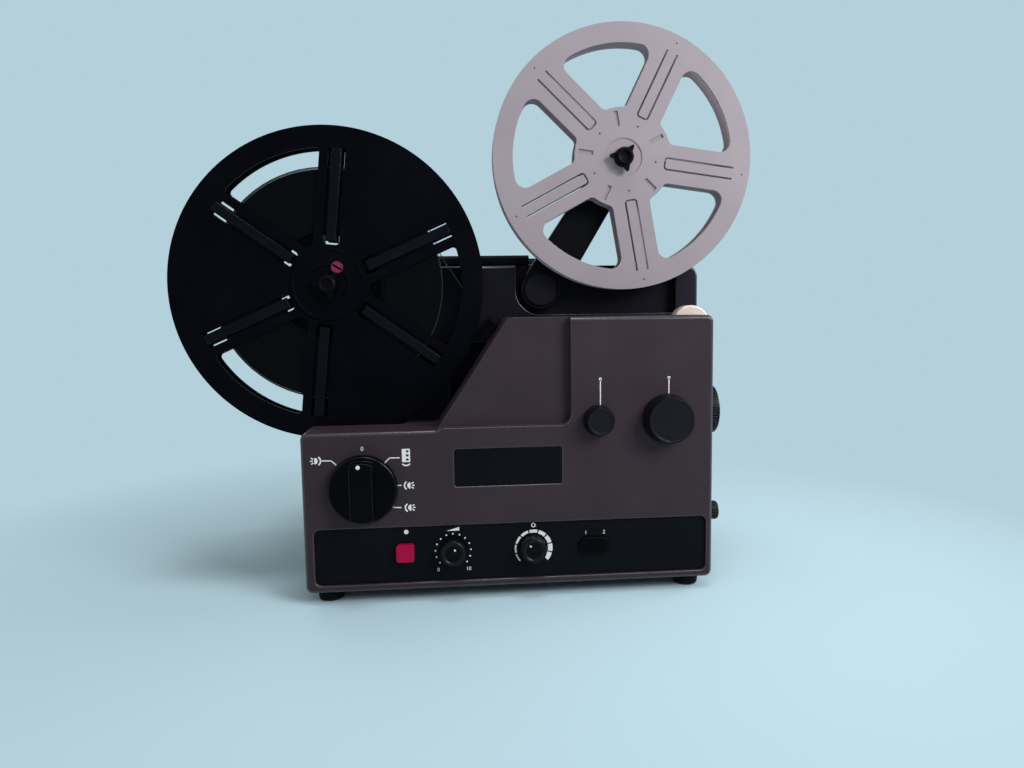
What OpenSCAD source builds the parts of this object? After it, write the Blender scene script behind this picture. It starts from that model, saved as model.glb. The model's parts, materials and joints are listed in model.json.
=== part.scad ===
// Sound film projector with a raised supply arm and a take-up reel.
// Millimetres. +X is to the right, +Y goes away from the viewer, +Z is up.
// The origin is under the middle of the whole projector, on the table.

/* [Front cover] */
// Width of the front cover
cover_w = 269; // [260:1:276]
// Height of the front cover
cover_h = 176; // [172:1:184]
// Depth of the front cover, from its front plane to the housing
cover_depth = 52; // [50:0.5:58]
// Height of the ledge in front of the take-up reel, above the cover's foot
ledge_h = 105; // [101:1:108]
// Place of the cover's left edge, left of the centre
cover_left = 109; // [103:1:111]
// Place of the front plane, ahead of the centre
front_reach = 85; // [82:1:90]
// Thickness of the cover's front wall
cover_front_t = 5; // [4.5:0.1:6]
// Thickness of the cover's other walls
cover_wall = 3; // [2.5:0.1:3.5]
// Radius of the cover's corners
cover_corner_r = 4.5; // [4:0.5:9]
// Rounding of the cover's front edge
cover_edge_r = 3; // [2:0.5:4.5]
// Width of the raised block at the right of the sunk field
block_w = 95; // [92:1:100]
// Depth of the sunk field above the ledge
field_depth = 6; // [4:0.5:7]
// Top left end of the slanting edge, from the block's left side
slant_top = 40; // [36:1:44]
// Bottom left end of the slanting edge, from the block's left side
slant_foot = 87; // [80:1:90]

/* [Plates on the cover] */
// Width of the name plate
name_w = 70; // [60:1:74]
// Height of the name plate
name_h = 24.5; // [20:0.5:28]
// Place of the name plate's left side, from the cover's left edge
name_x = 97.5; // [93:0.5:104]
// Place of the name plate's lower side, above the cover's foot
name_z = 67.5; // [66:0.5:72]
// Thickness of the name plate
name_t = 1; // [0.8:0.1:1.4]
// Height of the control panel
panel_h = 37; // [34:1:38]
// Margin of the control panel at the cover's left side
panel_left = 6.5; // [4:0.5:8]
// Margin of the control panel at the cover's right side
panel_right = 4.5; // [4:0.5:8]
// Place of the control panel's lower side, above the cover's foot
panel_z = 5; // [4:0.5:7]
// Depth of the control panel below the front plane
panel_sink = 2; // [1.2:0.1:2.2]
// Thickness of the control panel
panel_t = 1.2; // [1:0.1:1.4]

/* [Rear housing] */
// Step of the housing beyond the cover's left edge
housing_left = 7; // [5:1:12]
// Step of the housing beyond the cover's right edge
housing_right = 6; // [4:1:8]
// Height of the housing above the cover
housing_rise = 36; // [34:1:40]
// Depth of the housing behind the cover
housing_depth = 129; // [122:1:140]
// Thickness of the housing's walls
housing_wall = 3; // [2.5:0.1:3.5]
// Radius of the housing's corners
housing_corner_r = 9; // [6:0.5:11]
// Rounding of the housing's front edge
housing_edge_r = 2.5; // [1.5:0.5:3]
// Width of the right end cap
cap_w = 16.5; // [15:0.5:18]
// Thickness of the back cover
back_t = 5; // [4:0.5:6]
// Thickness of the base plate
base_t = 3; // [2.5:0.5:4]
// Height of the rubber feet
foot_h = 8; // [6:0.5:12]
// Radius of the rubber feet
foot_r = 9; // [7:0.5:11]
// Depth of the recess behind the supply arm
recess_depth = 8; // [7:0.5:9]
// Depth of the pocket behind the film path
pocket_depth = 13; // [12:0.5:14]
// Thickness of the chassis plate
chassis_t = 2; // [1.5:0.25:2.5]

/* [Reels] */
// Radius of the take-up reel
takeup_r = 104; // [100:1:107]
// Place of the take-up hub, right of the cover's left edge
takeup_in = 16; // [12:1:18]
// Depth of the take-up hub below the top of the housing
takeup_drop = 12; // [11:0.5:14]
// Radius of the film wound on the take-up reel
film_r = 78; // [60:1:84]
// Radius of the core that the film is wound on
core_r = 38; // [34:1:42]
// Radius of the supply reel
supply_r = 89; // [84:1:92]
// Width over the two flanges of a reel
reel_w = 13; // [12:0.5:14]
// Thickness of a reel flange
flange_t = 1.8; // [1.4:0.1:2.2]
// Space between the reels and the housing
reel_gap = 3; // [2.5:0.1:3.5]
// Radius of the spindles that carry the reels
spindle_r = 6.3; // [5.5:0.1:7]

/* [Supply arm] */
// Length of the arm between the pivot and the supply hub
arm_len = 104.5; // [103:0.1:110]
// Lean of the raised arm above the horizontal, in degrees
arm_angle = 57.6; // [56:0.1:61]
// Half width of the arm at its pivot
arm_pivot_r = 14.4; // [13:0.1:15.5]
// Half width of the arm at its spindle
arm_tip_r = 12; // [11.2:0.1:13]
// Thickness of the arm's walls
arm_wall = 2; // [1.6:0.1:2.2]
// Place of the arm's pivot, left of the end cap
arm_in = 97.5; // [92:0.5:100]
// Depth of the arm's pivot below the top of the housing
arm_drop = 17; // [16:0.5:18]

/* [Controls] */
// Radius of the mode dial
dial_r = 22; // [18:0.5:24]
// Height of the mode dial's disc
dial_disc_h = 6; // [4:0.5:7]
// Height of the grip bar on the mode dial
dial_bar_h = 8.6; // [6:0.2:10]
// Width of the grip bar on the mode dial
dial_bar_w = 14.5; // [10:0.5:17]
// Place of the mode dial, from the cover's left edge
dial_x = 39; // [34:0.5:42]
// Height of the mode dial above the cover's foot
dial_z = 68.5; // [66:0.5:70]
// Radius of the focus knob
focus_r = 16.5; // [14:0.25:18]
// Height of the focus knob
focus_h = 12; // [9:0.5:14]
// Place of the focus knob, from the cover's right edge
focus_x = 31.5; // [30:0.5:34]
// Radius of the framing knob
frame_r = 10.25; // [9:0.25:12]
// Height of the framing knob
frame_h = 9; // [7:0.5:11]
// Place of the framing knob, from the cover's right edge
frame_x = 77; // [74:0.5:78]
// Height of the optical axis above the cover's foot
axis_h = 108.5; // [106:0.5:110]
// Radius of the small rotary knobs on the control panel
knob_r = 8.5; // [7:0.25:9.5]
// Height of the small rotary knobs on the control panel
knob_h = 9; // [7:0.5:13]
// Place of the volume knob, from the cover's left edge
volume_x = 95.5; // [90:0.5:100]
// Place of the trick recording knob, from the cover's left edge
trick_x = 148; // [140:0.5:152]
// Side of the square record button
record_w = 11.5; // [9:0.25:13]
// Travel of the record button
record_travel = 3; // [2:0.25:3.5]
// Place of the record button, from the cover's left edge
record_x = 64.5; // [60:0.5:66]
// Length of the slide switch's grip
slide_w = 20.5; // [18:0.5:23]
// Height of the slide switch's grip
slide_h = 11; // [8:0.5:13]
// Travel of the slide switch
slide_travel = 7; // [5:0.5:8]
// Place of the slide switch, from the cover's left edge
slide_x = 189; // [182:0.5:194]
// Height of the row of controls above the cover's foot
row_z = 25; // [23:0.5:27]
// Radius of the control shafts
shaft_r = 3; // [2.5:0.1:3.5]

/* [Lens] */
// Radius of the lens barrel
barrel_r = 14; // [12:0.25:15]
// Radius of the zoom ring
zoom_r = 17; // [16.5:0.1:18]
// Width of the zoom ring
zoom_w = 12; // [10:0.5:17]
// Travel of the lens either way from the middle
lens_travel = 3; // [2:0.25:3.5]

/* [Carry handle] */
// Length of the carry handle
handle_len = 130; // [120:1:140]
// Reach of the carry handle from its pivot
handle_reach = 52; // [45:1:56]
// Thickness of the carry handle
handle_t = 9; // [8:0.5:10]
// Width of the handle's grip
handle_grip_w = 20; // [16:0.5:22]
// Radius of the handle's pins
handle_pin_r = 3; // [2:0.1:3.2]

/* [Drive] */
// Radius of the motor
motor_r = 27; // [22:0.5:28]
// Length of the motor
motor_len = 50; // [44:1:54]
// Running radius of the motor pulley
motor_pulley_r = 7; // [6:0.25:8]
// Running radius of the main pulley
main_pulley_r = 21; // [18:0.5:22]
// Running radius of the two timing pulleys
timing_r = 12; // [10:0.5:13]
// Radius of the film sprockets
sprocket_r = 10; // [8:0.25:10.5]
// Radius of the sprocket shafts
drive_shaft_r = 4; // [3.5:0.1:4.2]
// Radius of the sound drum's flywheel
flywheel_r = 30; // [26:0.5:32]
// Radius of the shutter
shutter_r = 20; // [18.5:0.25:21]

/* [Fits] */
// Radial clearance of a shaft that turns in its bore
run_gap = 0.05; // [0.02:0.01:0.09]
// Radial clearance of a fixed round piece in its hole
seat_gap = 0.1; // [0.06:0.01:0.2]
// Clearance between moving faces
move_gap = 0.4; // [0.3:0.05:0.6]

/* [Hidden] */
$fn = 96;

// Planes of the case
cover_x0 = -cover_left;
cover_x1 = cover_x0 + cover_w;
cover_z0 = foot_h;
cover_z1 = cover_z0 + cover_h;
ledge_z = cover_z0 + ledge_h;
front_y = -front_reach;
seam_y = front_y + cover_depth;
cover_in_y = front_y + cover_front_t;
block_x = cover_x1 - block_w;
field_in_y = front_y + field_depth + 2;
field_x0 = block_x - slant_foot - 40;
housing_x0 = cover_x0 - housing_left;
housing_x1 = cover_x1 + housing_right;
housing_z0 = foot_h + base_t;
housing_z1 = cover_z1 + housing_rise;
housing_y1 = seam_y + housing_depth;
cap_x = housing_x1 - cap_w;
cap_seam = 0.4;
back_y = housing_y1 + back_t;

// Reels and the film plane
reel_y1 = seam_y - reel_gap;
reel_y0 = reel_y1 - reel_w;
film_y = (reel_y0 + reel_y1) / 2;
film_w = reel_w - 2 * flange_t - 1.4;
takeup_x = cover_x0 + takeup_in;
takeup_z = housing_z1 - takeup_drop;
takeup_phase = 24;
supply_phase = 64;
trough_r = takeup_r + 3;
trough_y = reel_y0 - 4;
spindle_bore_r = spindle_r + seat_gap;
spindle_nose = 7;

// Supply arm
pivot_x = cap_x - arm_in;
pivot_z = housing_z1 - arm_drop;
supply_x = pivot_x + arm_len * cos(arm_angle);
supply_z = pivot_z + arm_len * sin(arm_angle);
recess_y = seam_y + recess_depth;
recess_r = arm_pivot_r + 3;
arm_y0 = reel_y1 + 2;
arm_y1 = recess_y - move_gap;
arm_plate_y = arm_y1 - arm_wall;
arm_pin_r = 4;
arm_pulley_r = arm_tip_r - arm_wall - 2;
arm_belt_t = 1.2;
arm_pulley_y0 = arm_y0 + arm_wall + move_gap;
arm_pulley_y1 = arm_plate_y - move_gap;

// Film path behind the cover
axis_z = cover_z0 + axis_h;
pocket_y = seam_y + pocket_depth;
pocket_x0 = block_x - 78;
pocket_x1 = cap_x - housing_wall;
pocket_z0 = axis_z - 64;
pocket_z1 = axis_z + 50;
chassis_y0 = pocket_y + housing_wall;
chassis_y1 = chassis_y0 + chassis_t;
gate_x = cover_x1 - 59;
main_x = gate_x - 20;
main_z = axis_z + 34;
lower_z = axis_z - 50;
drum_in = 60;
drum_drop = 31;
drum_x = gate_x - drum_in;
drum_z = axis_z - drum_drop;
drum_r = 8;
shutter_z = axis_z - shutter_r + 4;
shutter_in = 16;
shutter_x = gate_x - shutter_in;
shutter_shaft_r = 2;
shutter_tail = 18;
shutter_nose = 5;
shutter_t = 1.2;
bearing_back = 14;
bearing_front = 8;
bearing_half = 8;
inlet_x = cover_x1 - 3.5;
inlet_z = cover_z1 - 6.5;
inlet_r = 13;
exit_out = 10.8;
exit_angle = -12.6;
exit_x = takeup_x + (takeup_r + exit_out) * cos(exit_angle);
exit_z = takeup_z + (takeup_r + exit_out) * sin(exit_angle);
exit_y0 = film_y - 8;
guide_r = 2.5;
guide_head_r = guide_r + 1;
guide_head_t = 2;
lens_hole_r = zoom_r + 1.2;
mount_x1 = pocket_x1 - 1;
drum_shaft_r = drive_shaft_r - 1;
bush_wall = 2;
bush_flange_t = 1.5;
bush_y0 = pocket_y - bush_flange_t;
bush_y1 = chassis_y1 + 3.5;
takeup_bush_r = spindle_r + 0.8;

// Drive behind the chassis
pulley_y0 = bush_y1 + move_gap;
pulley_w = 7.4;
timing_y0 = pulley_y0 + pulley_w + 1.5;
belt_t = 1.2;
belt_gap = 0.15;
belt_in = 1.2;
motor_in = 56;
motor_up = 62;
motor_x = cover_x0 + motor_in;
motor_z = cover_z0 + motor_up;
motor_y0 = pulley_y0 + pulley_w + 8;
motor_shaft_r = 2.5;
flywheel_y0 = timing_y0 + pulley_w + 3;

// Controls
dial_cx = cover_x0 + dial_x;
dial_cz = cover_z0 + dial_z;
focus_cx = cover_x1 - focus_x;
frame_cx = cover_x1 - frame_x;
row_cz = cover_z0 + row_z;
volume_cx = cover_x0 + volume_x;
trick_cx = cover_x0 + trick_x;
record_cx = cover_x0 + record_x;
slide_cx = cover_x0 + slide_x;
panel_y = front_y + panel_sink;
panel_back_y = panel_y + panel_t;
knob_bush_r = shaft_r + 2.4;
pot_bush_r = shaft_r + 1.5;
speed_y = front_y + 20;
speed_z = cover_z0 + 40.5;
speed_r = 6;
speed_knob_l = 9.5;
speed_shaft_r = 2.5;
speed_shaft = 10;
speed_body = 16;
speed_in_x = cover_x1 - cover_wall;
slide_stem_w = 5;
slide_stem_h = 4;
slide_slot_x0 = slide_cx - slide_stem_w / 2 - move_gap;
slide_slot_x1 = slide_cx + slide_stem_w / 2 + slide_travel + move_gap;
slide_slot_half = slide_stem_h / 2 + move_gap;

// Carry handle
handle_x1 = pivot_x - 4;
handle_x0 = handle_x1 - handle_len;
handle_y = seam_y + 88;
handle_z0 = housing_z1 + 1;
handle_zc = handle_z0 + handle_t / 2;
handle_leg_w = 12;

// Outlines, as corners of x, z and radius, anticlockwise from the lower left
cover_outline = [
    [cover_x0, cover_z0, cover_corner_r],
    [cover_x1, cover_z0, cover_corner_r],
    [cover_x1, cover_z1, cover_corner_r],
    [block_x - slant_top, cover_z1, cover_corner_r + 1],
    [block_x - slant_foot, ledge_z, cover_corner_r],
    [cover_x0, ledge_z, cover_corner_r]
];
field_outline = [
    [field_x0, ledge_z + 1, 1],
    [block_x, ledge_z + 1, 7.5],
    [block_x, cover_z1 + 9, 1],
    [field_x0, cover_z1 + 9, 1]
];
housing_outline = [
    [housing_x0, housing_z0, housing_edge_r + 1.5],
    [housing_x1, housing_z0, housing_edge_r + 1.5],
    [housing_x1, housing_z1, housing_corner_r],
    [housing_x0, housing_z1, housing_corner_r]
];
panel_outline = rect_outline(cover_x0 + panel_left, cover_x1 - panel_right,
    cover_z0 + panel_z, cover_z0 + panel_z + panel_h, 4);
name_outline = rect_outline(cover_x0 + name_x, cover_x0 + name_x + name_w,
    cover_z0 + name_z, cover_z0 + name_z + name_h, 1.5);

function rect_outline(x0, x1, z0, z1, r) = [[x0, z0, r], [x1, z0, r], [x1, z1, r], [x0, z1, r]];
function unit(v) = v / norm(v);
function cross2(a, b) = a[0] * b[1] - a[1] * b[0];
function corner_xz(c) = [c[0], c[1]];

// Points of one rounded corner, drawn in by an inset. Arcs keep their centres.
function corner_arc(a, b, c, r, inset, n) =
    let(
        d1 = unit(b - a),
        d2 = unit(c - b),
        turn = cross2(d1, d2) > 0 ? 1 : -1,
        sweep = acos(d1 * d2),
        centre = b - d1 * (r * tan(sweep / 2)) + turn * r * [-d1[1], d1[0]],
        start = atan2(-d1[0], d1[1])
    )
    [for (i = [0:n]) let(t = start + turn * sweep * i / n)
        centre + turn * (r - turn * inset) * [cos(t), sin(t)]];

// A closed outline with its corners rounded, drawn in by an inset
function outline_ring(outline, inset = 0, n = 6) =
    let(m = len(outline))
    [for (k = [0:m - 1], p = corner_arc(corner_xz(outline[(k + m - 1) % m]), corner_xz(outline[k]),
        corner_xz(outline[(k + 1) % m]), outline[k][2], inset, n)) p];

// A solid along Y whose front edge is rounded by the radius edge.
// Both ends are fans of triangles round a point that sees the whole outline.
module soft_prism(outline, y0, y1, edge, eye, n = 5) {
    rings = concat(
        [for (k = [n:-1:0]) let(t = 90 * k / n)
            [for (p = outline_ring(outline, edge * (1 - cos(t)))) [p[0], y0 + edge * (1 - sin(t)), p[1]]]],
        [[for (p = outline_ring(outline)) [p[0], y1, p[1]]]]);
    m = len(rings[0]);
    last = len(rings) - 1;
    sides = [for (k = [0:last - 1], i = [0:m - 1], half = [0, 1])
        let(j = (i + 1) % m)
        half == 0 ? [k * m + i, k * m + j, (k + 1) * m + j]
            : [k * m + i, (k + 1) * m + j, (k + 1) * m + i]];
    front = len(rings) * m;
    ends = [for (i = [0:m - 1], end = [0, 1])
        let(j = (i + 1) % m)
        end == 0 ? [front, j, i] : [front + 1, last * m + i, last * m + j]];
    polyhedron(
        points = concat([for (ring = rings, p = ring) p], [[eye[0], y0, eye[1]], [eye[0], y1, eye[1]]]),
        faces = concat(sides, ends));
}

// Building blocks
module rod_y(x, z, y0, y1, r) {
    translate([x, y0, z]) rotate([-90, 0, 0]) cylinder(h = y1 - y0, r = r);
}
module rod_x(y, z, x0, x1, r) {
    translate([x0, y, z]) rotate([0, 90, 0]) cylinder(h = x1 - x0, r = r);
}
module box(x0, x1, y0, y1, z0, z1) {
    translate([x0, y0, z0]) cube([x1 - x0, y1 - y0, z1 - z0]);
}
module plate_y(y0, y1) {
    translate([0, y1, 0]) rotate([90, 0, 0]) linear_extrude(height = y1 - y0) children();
}
module outline_plate(outline, y0, y1, inset = 0) {
    plate_y(y0, y1) polygon(outline_ring(outline, inset));
}
module tube_y(x, z, y0, y1, r, bore) {
    difference() {
        rod_y(x, z, y0, y1, r);
        rod_y(x, z, y0 - 1, y1 + 1, bore);
    }
}
knob_rim = 2;
// A round knob that stands forward of y, with a raised rim round a dished face
module knob_form(x, z, y, r, h, dish) {
    translate([x, y, z]) rotate([90, 0, 0]) rotate_extrude()
        polygon([[0, 0], [r, 0], [r, h - 1], [r - 1, h], [r - knob_rim, h],
            [r - knob_rim - dish, h - dish], [0, h - dish]]);
}
// A belt round two pulleys, lying in the XZ plane
module belt(x0, z0, r0, x1, z1, r1, y0, y1, t) {
    plate_y(y0, y1) difference() {
        hull() {
            translate([x0, z0]) circle(r0 + belt_gap + t, $fn = 48);
            translate([x1, z1]) circle(r1 + belt_gap + t, $fn = 48);
        }
        hull() {
            translate([x0, z0]) circle(r0 + belt_gap, $fn = 48);
            translate([x1, z1]) circle(r1 + belt_gap, $fn = 48);
        }
    }
}
// A pulley with two flanges that keep a belt on its running radius
module pulley(x, z, y0, r) {
    rod_y(x, z, y0, y0 + pulley_w, r);
    for (y = [y0, y0 + pulley_w - 1]) rod_y(x, z, y, y + 1, r + belt_gap + belt_t + 0.4);
}

// Case
module housing_outer() {
    soft_prism(housing_outline, seam_y, housing_y1, housing_edge_r, [0, axis_z]);
}
module arm_recess(grow) {
    rod_y(pivot_x, pivot_z, seam_y - 1, recess_y + grow, recess_r + grow);
    box(pivot_x - recess_r - grow, cap_x + 1, seam_y - 1, recess_y + grow, pivot_z, housing_z1 + 1);
    box(pivot_x, cap_x + 1, seam_y - 1, recess_y + grow, pivot_z - recess_r - grow, pivot_z + 1);
}
module film_pocket(grow) {
    box(pocket_x0 - grow, pocket_x1 + grow, seam_y - 1, pocket_y + grow,
        pocket_z0 - grow, pocket_z1 + grow);
}
module lens_passage() {
    rod_x(film_y, axis_z, pocket_x1 - 2, housing_x1 + 2, lens_hole_r);
}
speaker_r = 35;
speaker_y = seam_y + 78;
speaker_z = housing_z1 - 74;
grille_pitch = 8;
module rear_housing() {
    color("#26262b") difference() {
        intersection() {
            housing_outer();
            box(housing_x0 - 1, cap_x, seam_y - 1, housing_y1 + 1, 0, housing_z1 + 1);
        }
        difference() {
            box(housing_x0 + housing_wall, cap_x + 1, seam_y + housing_wall, housing_y1 + 1,
                housing_z0 - 1, housing_z1 - housing_wall);
            arm_recess(housing_wall);
            film_pocket(housing_wall);
        }
        arm_recess(0);
        film_pocket(0);
        lens_passage();
        rod_y(takeup_x, takeup_z, seam_y - 1, seam_y + housing_wall + 1, takeup_bush_r + seat_gap);
        rod_y(pivot_x, pivot_z, recess_y - 1, recess_y + housing_wall + 1, arm_pin_r + seat_gap);
        bush_holes(pocket_y - 1, pocket_y + housing_wall + 1);
        for (i = [-3:3])
            box(housing_x0 - 1, housing_x0 + housing_wall + 1,
                speaker_y + i * grille_pitch - 1.6, speaker_y + i * grille_pitch + 1.6,
                speaker_z - sqrt(pow(speaker_r - 4, 2) - pow(i * grille_pitch, 2)),
                speaker_z + sqrt(pow(speaker_r - 4, 2) - pow(i * grille_pitch, 2)));
    }
}
module end_cap() {
    color("#2a2a2f") difference() {
        intersection() {
            housing_outer();
            box(cap_x + cap_seam, housing_x1 + 1, seam_y - 1, housing_y1 + 1, 0, housing_z1 + 1);
        }
        box(cap_x - 1, housing_x1 - housing_wall, pocket_y, housing_y1 + 1, housing_z0 - 1,
            housing_z1 - housing_wall);
        lens_passage();
    }
}
vent_count = 9;
jack_count = 3;
jack_r = 3.2;
jack_wall = 1.8;
jack_x = housing_x0 + 74;
jack_pitch = 20;
jack_z = housing_z0 + 26;
inlet_w = 26;
inlet_h = 18;
mains_wall = 4;
mains_pin_r = 1.2;
mains_pin_in = 9;
mains_x = housing_x0 + 20;
mains_z = housing_z0 + 17;
module back_cover() {
    color("#222226") difference() {
        outline_plate(housing_outline, housing_y1, back_y);
        for (i = [0:vent_count - 1])
            box(housing_x1 - 95, housing_x1 - 25, housing_y1 - 1, back_y + 1,
                axis_z + i * 10, axis_z + i * 10 + 4);
        for (i = [0:jack_count - 1])
            rod_y(jack_x + i * jack_pitch, jack_z, housing_y1 - 1, back_y + 1,
                jack_r + jack_wall + seat_gap);
        box(mains_x - seat_gap, mains_x + inlet_w + seat_gap, housing_y1 - 1, back_y + 1,
            mains_z - seat_gap, mains_z + inlet_h + seat_gap);
        for (p = screw_places) rod_y(p[0], p[1], housing_y1 - 1, back_y + 1, screw_r + seat_gap);
    }
}
screw_r = 1.6;
screw_in = 12;
screw_places = [for (x = [housing_x0 + screw_in, (housing_x0 + housing_x1) / 2, housing_x1 - screw_in],
    z = [housing_z0 + 9, housing_z1 - screw_in]) [x, z]];
module cover_screws() {
    color("#55565a") for (p = screw_places) {
        rod_y(p[0], p[1], housing_y1, back_y, screw_r);
        difference() {
            rod_y(p[0], p[1], back_y, back_y + 1.4, 3.4);
            for (turn = [0, 90]) translate([p[0], back_y + 1, p[1]]) rotate([0, turn, 0])
                cube([4, 1.2, 0.8], center = true);
        }
    }
}
foot_places = [[cover_x0 + 14, front_y + 15], [cover_x1 - 14, front_y + 15],
    [housing_x0 + 14, housing_y1 - 11], [housing_x1 - 15, housing_y1 - 11]];
foot_stem_r = 2.5;
module foot_holes() {
    for (p = foot_places) translate([p[0], p[1], foot_h - 1]) cylinder(h = 6, r = foot_stem_r + seat_gap);
}
module rubber_feet() {
    color("#17171a") for (p = foot_places) translate([p[0], p[1], 0]) {
        cylinder(h = foot_h, r1 = foot_r - 1.2, r2 = foot_r);
        cylinder(h = foot_h + base_t - 0.5, r = foot_stem_r);
    }
}
slot_pitch_x = 18;
slot_pitch_y = 22;
slot_wide = 6;
slot_long = 14;
module base_plate() {
    color("#2b2b2e") difference() {
        box(housing_x0 + 1, housing_x1 - 1, seam_y, back_y, foot_h, housing_z0);
        foot_holes();
        for (i = [0:5], j = [0:2]) {
            x = motor_x - 20 + i * slot_pitch_x;
            y = motor_y0 - 12 + j * slot_pitch_y;
            box(x, x + slot_wide, y, y + slot_long, foot_h - 1, housing_z0 + 1);
        }
    }
}
module chassis_plate() {
    color("#9a9ca0") difference() {
        box(housing_x0 + 6, cap_x - 6, chassis_y0, chassis_y1, housing_z0 + 3, housing_z1 - 6);
        rod_y(takeup_x, takeup_z, chassis_y0 - 1, chassis_y1 + 1, takeup_bush_r + seat_gap);
        rod_y(pivot_x, pivot_z, chassis_y0 - 1, chassis_y1 + 1, arm_pin_r + seat_gap);
        bush_holes(chassis_y0 - 1, chassis_y1 + 1);
    }
}
module bush_holes(y0, y1) {
    rod_y(main_x, main_z, y0, y1, drive_shaft_r + bush_wall + seat_gap);
    rod_y(main_x, lower_z, y0, y1, drive_shaft_r + bush_wall + seat_gap);
    rod_y(drum_x, drum_z, y0, y1, drum_shaft_r + bush_wall + seat_gap);
}

// Front cover and its plates
name_sink = 0.6;
notch_x = inlet_x - inlet_r - 2;
module front_cover() {
    color("#4a4547") difference() {
        soft_prism(cover_outline, front_y, seam_y, cover_edge_r, [block_x, (cover_z0 + ledge_z) / 2]);
        difference() {
            outline_plate(cover_outline, cover_in_y, seam_y + 1, cover_wall);
            rod_y(takeup_x, takeup_z, trough_y - cover_wall, seam_y + 2, trough_r + cover_wall);
            box(field_x0, block_x + 2, cover_in_y - 1, field_in_y, ledge_z - 2, cover_z1 + 1);
        }
        rod_y(takeup_x, takeup_z, trough_y, seam_y + 1, trough_r);
        outline_plate(field_outline, front_y - 1, front_y + field_depth);
        outline_plate(panel_outline, front_y - 1, panel_back_y);
        outline_plate(name_outline, front_y - 1, front_y + name_sink + name_t);
        rod_y(dial_cx, dial_cz, front_y - 1, cover_in_y + 1, knob_bush_r + seat_gap);
        rod_y(frame_cx, axis_z, front_y - 1, cover_in_y + 1, knob_bush_r + seat_gap);
        rod_y(focus_cx, axis_z, front_y - 1, cover_in_y + 1, knob_bush_r + seat_gap);
        panel_holes(front_y, cover_in_y + 1);
        rod_x(speed_y, speed_z, cover_x1 - cover_wall - 1, cover_x1 + 1, pot_bush_r + seat_gap);
        rod_x(film_y, axis_z, cover_x1 - cover_wall - 2, cover_x1 + 2, lens_hole_r);
        box(notch_x, cover_x1 + 1, trough_y, seam_y + 1, inlet_z - inlet_r - 2, cover_z1 + 1);
        rod_y(exit_x, exit_z, exit_y0 - move_gap, seam_y + 1, guide_head_r + move_gap);
        foot_holes();
    }
}
module panel_holes(y0, y1) {
    for (x = [volume_cx, trick_cx]) rod_y(x, row_cz, y0, y1, pot_bush_r + seat_gap);
    box(record_cx - record_w / 2 - move_gap, record_cx + record_w / 2 + move_gap, y0, y1,
        row_cz - record_w / 2 - move_gap, row_cz + record_w / 2 + move_gap);
    box(slide_slot_x0, slide_slot_x1, y0, y1, row_cz - slide_slot_half, row_cz + slide_slot_half);
}
module name_plate() {
    y0 = front_y + name_sink;
    color("#101014") outline_plate(name_outline, y0, y0 + name_t, seat_gap);
}
module control_panel() {
    color("#15161b") difference() {
        outline_plate(panel_outline, panel_y, panel_back_y, seat_gap);
        panel_holes(panel_y - 1, panel_back_y + 1);
    }
}
post_r = 4;
post_places = [
    [cover_x0 + 14, cover_z0 + 12, cover_in_y],
    [cover_x1 - 12, cover_z0 + 12, cover_in_y],
    [cover_x1 - 39, cover_z1 - 12, cover_in_y],
    [block_x - 27, cover_z1 - 12, field_in_y]
];
module cover_posts() {
    color("silver") for (p = post_places) rod_y(p[0], p[1], p[2], seam_y, post_r);
}

// Carry handle
module carry_handle() {
    y0 = handle_y - handle_reach;
    color("#1c1c20") difference() {
        union() {
            hull() for (y = [y0 + 3, y0 + handle_grip_w - 3], z = [handle_z0 + 3, handle_z0 + handle_t - 3])
                rod_x(y, z, handle_x0, handle_x1, 3, $fn = 32);
            for (x = [handle_x0, handle_x1 - handle_leg_w]) {
                box(x, x + handle_leg_w, y0 + handle_grip_w / 2, handle_y, handle_z0, handle_z0 + handle_t);
                rod_x(handle_y, handle_zc, x, x + handle_leg_w, handle_t / 2);
            }
        }
        rod_x(handle_y, handle_zc, handle_x0 - 1, handle_x1 + 1, handle_pin_r + run_gap);
    }
}
module handle_brackets() {
    reach = handle_leg_w - 4;
    color("#222226") for (side = [0, 1]) {
        x = side == 0 ? handle_x0 - move_gap - handle_leg_w : handle_x1 + move_gap;
        box(x, x + handle_leg_w, handle_y - 8, handle_y + 8, housing_z1, handle_zc);
        rod_x(handle_y, handle_zc, x, x + handle_leg_w, handle_zc - housing_z1);
        rod_x(handle_y, handle_zc, side == 0 ? x : x - reach, x + handle_leg_w + (side == 0 ? reach : 0),
            handle_pin_r);
    }
}

// Supply arm
module arm_form(y0, y1, inset) {
    hull() {
        rod_y(pivot_x, pivot_z, y0, y1, arm_pivot_r - inset, $fn = 64);
        rod_y(supply_x, supply_z, y0, y1, arm_tip_r - inset, $fn = 64);
    }
}
spindle_shaft_r = 4;
spindle_tail_r = 3;
module arm_shell() {
    color("#232329") difference() {
        arm_form(arm_y0, arm_plate_y, 0);
        arm_form(arm_y0 + arm_wall, arm_plate_y + 1, arm_wall);
        rod_y(pivot_x, pivot_z, arm_y0 - 1, arm_y0 + arm_wall + 1, arm_pin_r + run_gap);
        rod_y(supply_x, supply_z, arm_y0 - 1, arm_y0 + arm_wall + 1, spindle_shaft_r + run_gap);
    }
}
module arm_back_plate() {
    color("#1d1d22") difference() {
        arm_form(arm_plate_y, arm_y1, 0);
        rod_y(pivot_x, pivot_z, arm_plate_y - 1, arm_y1 + 1, arm_pin_r + run_gap);
        rod_y(supply_x, supply_z, arm_plate_y - 1, arm_y1 + 1, spindle_tail_r + run_gap);
    }
}
module arm_pivot_pin() {
    color("#34343a") {
        rod_y(pivot_x, pivot_z, arm_y0 - 1.3, arm_y0 - 0.3, 11);
        rod_y(pivot_x, pivot_z, arm_y0 - 0.3, chassis_y1, arm_pin_r);
    }
}
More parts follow.
